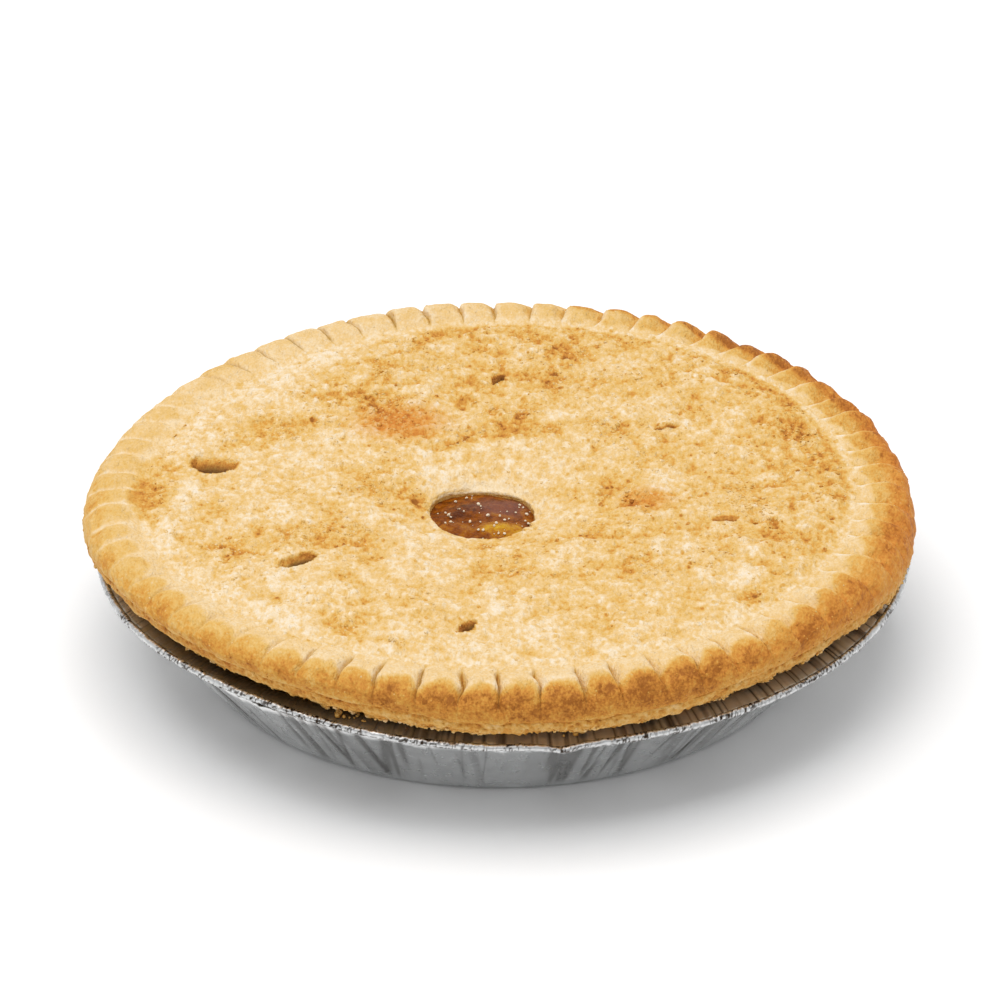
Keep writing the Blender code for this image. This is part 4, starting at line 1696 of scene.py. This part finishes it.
@dataclass
class Crumbs:
    """Many grains of one kind, sunk a little into what they lie on."""

    name: str
    kind: CrumbKind
    count: int
    smallest: float
    largest: float
    seed: int
    flatness: float = 0.6
    sunk: float = 0.48
    painted_foot_shade: float = 1.2
    palest: float = 0.2
    outward: bool = False

    def seat(self, ground: Sheet, weight: Array) -> tuple[Array, Array, dict[str, Array]]:
        """Pick places on a sheet.

        Args:
            ground: The sheet that carries the grains.
            weight: How densely each of its points is covered.

        Returns:
            The places, the directions in which the sheet faces there, and its marks.
        """
        rng = np.random.default_rng(self.seed)
        along = np.gradient(ground.points, axis=0)
        around = np.roll(ground.points, -1, axis=1) - ground.points
        area = np.linalg.norm(np.cross(around, along), axis=-1)
        chance = (area * weight).ravel()
        picked = rng.choice(len(chance), self.count, p=chance / chance.sum())
        row, column = np.divmod(picked, weight.shape[1])
        shift = rng.uniform(-0.5, 0.5, (2, self.count, 1))
        along, around = along[row, column], around[row, column]
        place = ground.points[row, column] + shift[0] * along + shift[1] * around
        facing = unit(np.cross(around, along))
        marks = {name: values[row, column] for name, values in ground.marks.items()}
        outwards = (facing * place)[:, :2].sum(axis=1, keepdims=True)
        sign = outwards if self.outward else facing[:, 2:]
        return place, facing * np.sign(sign + 1e-6), marks

    def grain(self) -> tuple[Array, Array]:
        """Model one round grain of size 1.

        Returns:
            Its points and its faces.
        """
        deselect_all()
        bpy.ops.mesh.primitive_ico_sphere_add(subdivisions=1, radius=0.5)
        model = bpy.context.object
        points = np.array([vertex.co[:] for vertex in model.data.vertices])
        faces = np.array([face.vertices[:] for face in model.data.polygons])
        bpy.data.objects.remove(model, do_unlink=True)
        return points, faces

    def build(self, ground: Sheet, weight: Array) -> bpy.types.Object:
        """Join grains at places on a sheet into one mesh.

        Args:
            ground: The sheet that carries the grains.
            weight: How densely each of its points is covered.

        Returns:
            The new object, at the origin, with the marks of its ground.
        """
        place, facing, marks = self.seat(ground, weight)
        rng = np.random.default_rng(self.seed + 1)
        points, faces = self.grain()
        count = len(place)
        size = self.smallest + (self.largest - self.smallest) * rng.random(count) ** 2.2
        stretch = rng.uniform(0.75, 1.25, (count, 1, 3))
        knobbly = 1.0 + rng.uniform(-0.16, 0.16, (count, len(points), 1))
        spin = rng.uniform(0.0, math.tau, count)
        aside = unit(np.cross(facing, points_at(np.cos(spin), np.sin(spin), 0.3)))
        third = np.cross(facing, aside)
        local = points * stretch * knobbly * size[:, None, None]
        raised = (0.5 * self.flatness - self.sunk) * size[:, None]
        local[..., 2] = local[..., 2] * self.flatness + raised
        grid = local[..., :1] * aside[:, None] + local[..., 1:2] * third[:, None]
        grid = grid + local[..., 2:] * facing[:, None] + place[:, None]
        all_faces = faces[None] + (np.arange(count) * len(points))[:, None, None]
        mesh = bpy.data.meshes.new(self.name)
        corners, all_faces = (grid * MM).reshape(-1, 3), all_faces.reshape(-1, 3)
        mesh.from_pydata(corners.tolist(), [], all_faces.tolist())
        paler, varied = self.kind.value
        bake = marks.get("bake", np.zeros(count)) + paler + varied * rng.normal(size=count)
        # Each grain is browned towards its foot: painted shade.
        below = 0.5 - np.clip(points[:, 2] + 0.1, -0.5, 0.5)
        bake = np.maximum(bake, self.palest)[:, None] + self.painted_foot_shade * below[None, :]
        ruddy = 0.6 * marks.get("ruddy", np.zeros(count))
        set_mark(mesh, "bake", bake)
        set_mark(mesh, "ruddy", np.repeat(ruddy, len(points)))
        for name, value in (("rise", 0.0), ("painted_shade_and_scorch", 0.0), ("coarse", 0.5)):
            set_mark(mesh, name, np.full(count * len(points), value))
        made = bpy.data.objects.new(self.name, mesh)
        bpy.context.scene.collection.objects.link(made)
        deselect_all()
        made.select_set(True)
        bpy.context.view_layer.objects.active = made
        bpy.ops.object.shade_smooth()
        return made


# ---------------------------------------------------------------- studio


@dataclass
class Studio:
    """A plain pale floor, soft light and the camera at the photograph's angle."""

    floor_size: float = 8000.0
    floor_drop: float = 0.2
    floor_levels: Levels = (252, 252, 252)
    floor_roughness: float = 0.9
    target: tuple[float, float, float] = (0.27, 0.0, 41.0)
    distance: float = 1500.0
    elevation: float = math.radians(28.5)
    focal_length: float = 199.26
    sensor_width: float = 36.0
    view_end: float = 100.0
    key_place: tuple[float, float, float] = (-380.0, -150.0, 2700.0)
    key_size: float = 2400.0
    key_power: float = 52.0
    sky_strength: float = 0.67
    back_light: float = 0.35
    side_light: float = 0.55
    low_sky: float = 0.5
    backdrop: float = 1.65

    def add_floor(self) -> None:
        """Lay the floor just under the tin's base."""
        deselect_all()
        low = (0.0, 0.0, -self.floor_drop * MM)
        bpy.ops.mesh.primitive_plane_add(size=self.floor_size * MM, location=low)
        floor = bpy.context.object
        floor.name = "studio_floor"
        board = NodeBoard("Studio floor")
        colour = linear(self.floor_levels)
        board.wire(board.shader, Base_Color=colour, Roughness=self.floor_roughness)
        floor.data.materials.append(board.material)

    def add_light(self, name: str) -> None:
        """Hang one square soft light that faces the pie.

        Args:
            name: The light's name.
        """
        light = bpy.data.lights.new(name, "AREA")
        light.size = self.key_size * MM
        light.energy = self.key_power
        lamp = bpy.data.objects.new(name, light)
        lamp.location = [value * MM for value in self.key_place]
        away = lamp.location.normalized()
        lamp.rotation_mode = "QUATERNION"
        lamp.rotation_quaternion = away.to_track_quat("Z", "Y")
        bpy.context.scene.collection.objects.link(lamp)

    def add_sky(self) -> None:
        """Light from all round, brightest overhead and behind, dim near the camera."""
        world = bpy.data.worlds.new("Studio")
        bpy.context.scene.world = world
        world.use_nodes = True
        tree = world.node_tree
        back = tree.nodes["Background"]
        way = tree.nodes.new("ShaderNodeTexCoord")
        parts = tree.nodes.new("ShaderNodeSeparateXYZ")
        tree.links.new(way.outputs["Generated"], parts.inputs[0])
        side = tree.nodes.new("ShaderNodeMath")
        side.operation = "ABSOLUTE"
        tree.links.new(parts.outputs["X"], side.inputs[0])
        height = parts.outputs["Z"]
        for share, source in (
            (self.back_light, parts.outputs["Y"]),
            (self.side_light, side.outputs[0]),
        ):
            mix = tree.nodes.new("ShaderNodeMath")
            mix.operation = "MULTIPLY_ADD"
            mix.inputs[1].default_value = share
            tree.links.new(source, mix.inputs[0])
            tree.links.new(height, mix.inputs[2])
            height = mix.outputs[0]
        ramp = tree.nodes.new("ShaderNodeValToRGB")
        ends = ramp.color_ramp.elements
        for end, place, level in zip(ends, (0.0, 0.7), (self.low_sky, 1.0)):
            end.position = place
            end.color = (level, level, level, 1.0)
        tree.links.new(height, ramp.inputs[0])
        paths = tree.nodes.new("ShaderNodeLightPath")
        plain = tree.nodes.new("ShaderNodeMixRGB")
        plain.inputs["Color2"].default_value = (*(self.backdrop,) * 3, 1.0)
        tree.links.new(paths.outputs["Is Camera Ray"], plain.inputs["Fac"])
        tree.links.new(ramp.outputs["Color"], plain.inputs["Color1"])
        tree.links.new(plain.outputs["Color"], back.inputs["Color"])
        back.inputs["Strength"].default_value = self.sky_strength

    def add_camera(self) -> None:
        """Set up the camera, turned down by its elevation."""
        data = bpy.data.cameras.new("Camera")
        data.lens = self.focal_length
        data.sensor_width = self.sensor_width
        data.clip_end = self.view_end
        camera = bpy.data.objects.new("Camera", data)
        x, y, z = self.target
        camera.location = (
            x * MM,
            (y - self.distance * math.cos(self.elevation)) * MM,
            (z + self.distance * math.sin(self.elevation)) * MM,
        )
        camera.rotation_euler = (math.pi / 2 - self.elevation, 0.0, 0.0)
        bpy.context.scene.collection.objects.link(camera)
        bpy.context.scene.camera = camera

    def build(self) -> None:
        """Set up floor, light and camera."""
        self.add_floor()
        self.add_sky()
        self.add_light("key")
        self.add_camera()
        bpy.context.scene.view_settings.view_transform = "Standard"


# ---------------------------------------------------------------- the whole pie


@dataclass
class PeachPie:
    """The whole pie: crust, filling, tin and what is scattered on them."""

    pastry: PastryFinish = PastryFinish()
    syrup: SyrupFinish = SyrupFinish()
    foil: FoilFinish = FoilFinish()
    # Where grains may lie on the lid: how level it is there, how high, how far from the
    # crust's middle and from the hole's, and how deep in a vent.
    least_level: float = 0.6
    least_height: float = 40.2
    lid_reach: float = 95.5
    hole_margin: float = 14.6
    deepest: float = 0.1
    # The heights and directions at which crumbs hang or have fallen.
    torn_height: float = 33.6
    torn_radius: float = 106.0
    heap_at: float = -111.0
    few_at: float = -80.0
    crimp_rows: tuple[int, int] = (10, 56)
    syrup_reach: float = 13.0

    def build_crust(self, finish: bpy.types.Material) -> tuple[Sheet, Sheet, Sheet]:
        """Build the lid, the rim and the bottom crust.

        Args:
            finish: The pastry's material.

        Returns:
            Their sheets.
        """
        sheets = (LID.sheet(), Rim().sheet(), BottomCrust().sheet())
        for sheet in sheets:
            put_in_frame(sheet.build(), finish, "pastry", "crust")
        return sheets

    def build_filling(self) -> Sheet:
        """Build the peach filling.

        Returns:
            Its sheet.
        """
        sheet = Filling().sheet()
        put_in_frame(sheet.build(), self.syrup.material(), "peach_filling", "filling")
        return sheet

    def build_tin(self) -> Sheet:
        """Build the foil tin from its body, bead and flange.

        Returns:
            The flange's sheet.
        """
        finish = self.foil.material()
        sheets = [part.sheet() for part in (TinBody(), TinBead(), TinFlange())]
        for sheet in sheets:
            put_in_frame(sheet.build(), finish, "foil", "tin")
        return sheets[-1]

    def lid_cover(self, lid: Sheet) -> tuple[Array, Array, Array]:
        """Find where the lid can carry grains.

        Args:
            lid: The lid's sheet.

        Returns:
            1 where it is open and faces up, how much it is baked, and how the grains
            crowd together.
        """
        x, y = lid.points[..., 0], lid.points[..., 1]
        radius = np.hypot(x - PLAN.crust_x, y)
        from_hole = np.hypot(x - PLAN.hole_x, y - PLAN.hole_y)
        level, height = np.abs(lid.normals()[..., 2]), lid.points[..., 2]
        face_up = (level > self.least_level) & (height > self.least_height)
        open_lid = face_up * (radius < self.lid_reach) * (from_hole > self.hole_margin)
        open_lid = open_lid * (lid.marks["painted_shade_and_scorch"] < self.deepest)
        baked = smooth_rise(0.25, 0.8, lid.marks["bake"])
        clumps = np.clip(lumps(lid.points, 7.0, 91.0) + 0.25, 0.04, 1.0) ** 1.5
        return open_lid, baked, clumps

    def torn_edge(self, base: Sheet) -> Array:
        """Find where crumbs hang from the bottom crust's torn edge.

        Args:
            base: The bottom crust's sheet.

        Returns:
            How densely each point is covered.
        """
        x, y, height = (base.points[..., k] for k in range(3))
        hanging = np.exp(-(((height - self.torn_height) / 1.1) ** 2))
        hanging = hanging * (np.hypot(x, y) > self.torn_radius)
        return hanging * np.clip(lumps(base.points, 5.0, 92.0) + 0.4, 0.05, 1.0)

    def fallen(self, flange: Sheet) -> Array:
        """Find where crumbs have fallen on the flange, in two places at the front.

        Args:
            flange: The flange's sheet.

        Returns:
            How densely each point of its upper face is covered.
        """
        around = np.degrees(np.arctan2(flange.points[..., 1], flange.points[..., 0]))
        heap = np.exp(-(((around - self.heap_at) / 2.6) ** 2))
        few = 0.25 * np.exp(-(((around - self.few_at) / 1.5) ** 2))
        row = np.arange(len(around))[:, None]
        rows = TinFlange().rows
        return (heap + few) * (row > rows + 2) * (row < 2 * rows - 4)

    def scatter(self, ground: dict[str, Sheet], finish: bpy.types.Material) -> None:
        """Scatter sugar and crumbs over the lid, the crimps, the torn edge and the filling.

        Args:
            ground: The sheets that carry them, by name.
            finish: The pastry's material.
        """
        lid, rim, base, filling, flange = (
            ground[name] for name in ("lid", "rim", "base", "filling", "flange")
        )
        open_lid, baked, clumps = self.lid_cover(lid)
        row = np.arange(len(rim.points))[:, None]
        first, last = self.crimp_rows
        crimps = (row > first) * (row < last) * np.ones(rim.points.shape[:2])
        x, y = filling.points[..., 0], filling.points[..., 1]
        middle = np.hypot(x - PLAN.hole_x, y - PLAN.hole_y)
        row = np.arange(len(middle))[:, None]
        syrup = (row < Filling().rings) * (middle < self.syrup_reach) * 1.0
        sugar, pale, golden = CrumbKind.SUGAR, CrumbKind.PALE, CrumbKind.GOLDEN
        plans = (
            (
                Crumbs("lid_sugar", sugar, 400, 0.4, 0.9, 101, palest=-0.15),
                lid,
                open_lid * clumps,
            ),
            (
                Crumbs("lid_crumbs", pale, 3600, 0.7, 1.7, 103),
                lid,
                open_lid * (0.2 + baked) * clumps,
            ),
            (
                Crumbs("lid_dark_crumbs", golden, 1200, 0.6, 1.5, 105, painted_foot_shade=0.4),
                lid,
                open_lid * (0.1 + baked),
            ),
            (Crumbs("rim_crumbs", pale, 1500, 0.4, 0.9, 107, palest=0.1), rim, crimps),
            (
                Crumbs("edge_crumbs", pale, 1500, 0.4, 1.5, 111, 0.8, 0.4, 0.8, outward=True),
                base,
                self.torn_edge(base),
            ),
            (
                Crumbs("fallen_crumbs", golden, 26, 0.5, 2.2, 113, 0.9, 0.1, palest=0.45),
                flange,
                self.fallen(flange),
            ),
            (
                Crumbs("filling_sugar", sugar, 56, 0.3, 1.2, 109, 0.9, 0.2, 0.0, -0.3),
                filling,
                syrup,
            ),
        )
        for crumbs, carrier, weight in plans:
            slot = "peach_filling" if carrier is filling else "pastry"
            put_in_frame(crumbs.build(carrier, weight), finish, slot)

    def build(self) -> None:
        """Build every piece of the pie."""
        pastry = self.pastry.material()
        lid, rim, base = self.build_crust(pastry)
        filling = self.build_filling()
        flange = self.build_tin()
        ground = {"lid": lid, "rim": rim, "base": base, "filling": filling, "flange": flange}
        self.scatter(ground, pastry)


def main() -> None:
    """Load the frame, and build the pie and the studio."""
    logging.basicConfig(level=logging.INFO, format="%(name)s: %(message)s")
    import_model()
    PeachPie().build()
    Studio().build()


if __name__ == "__main__":
    main()
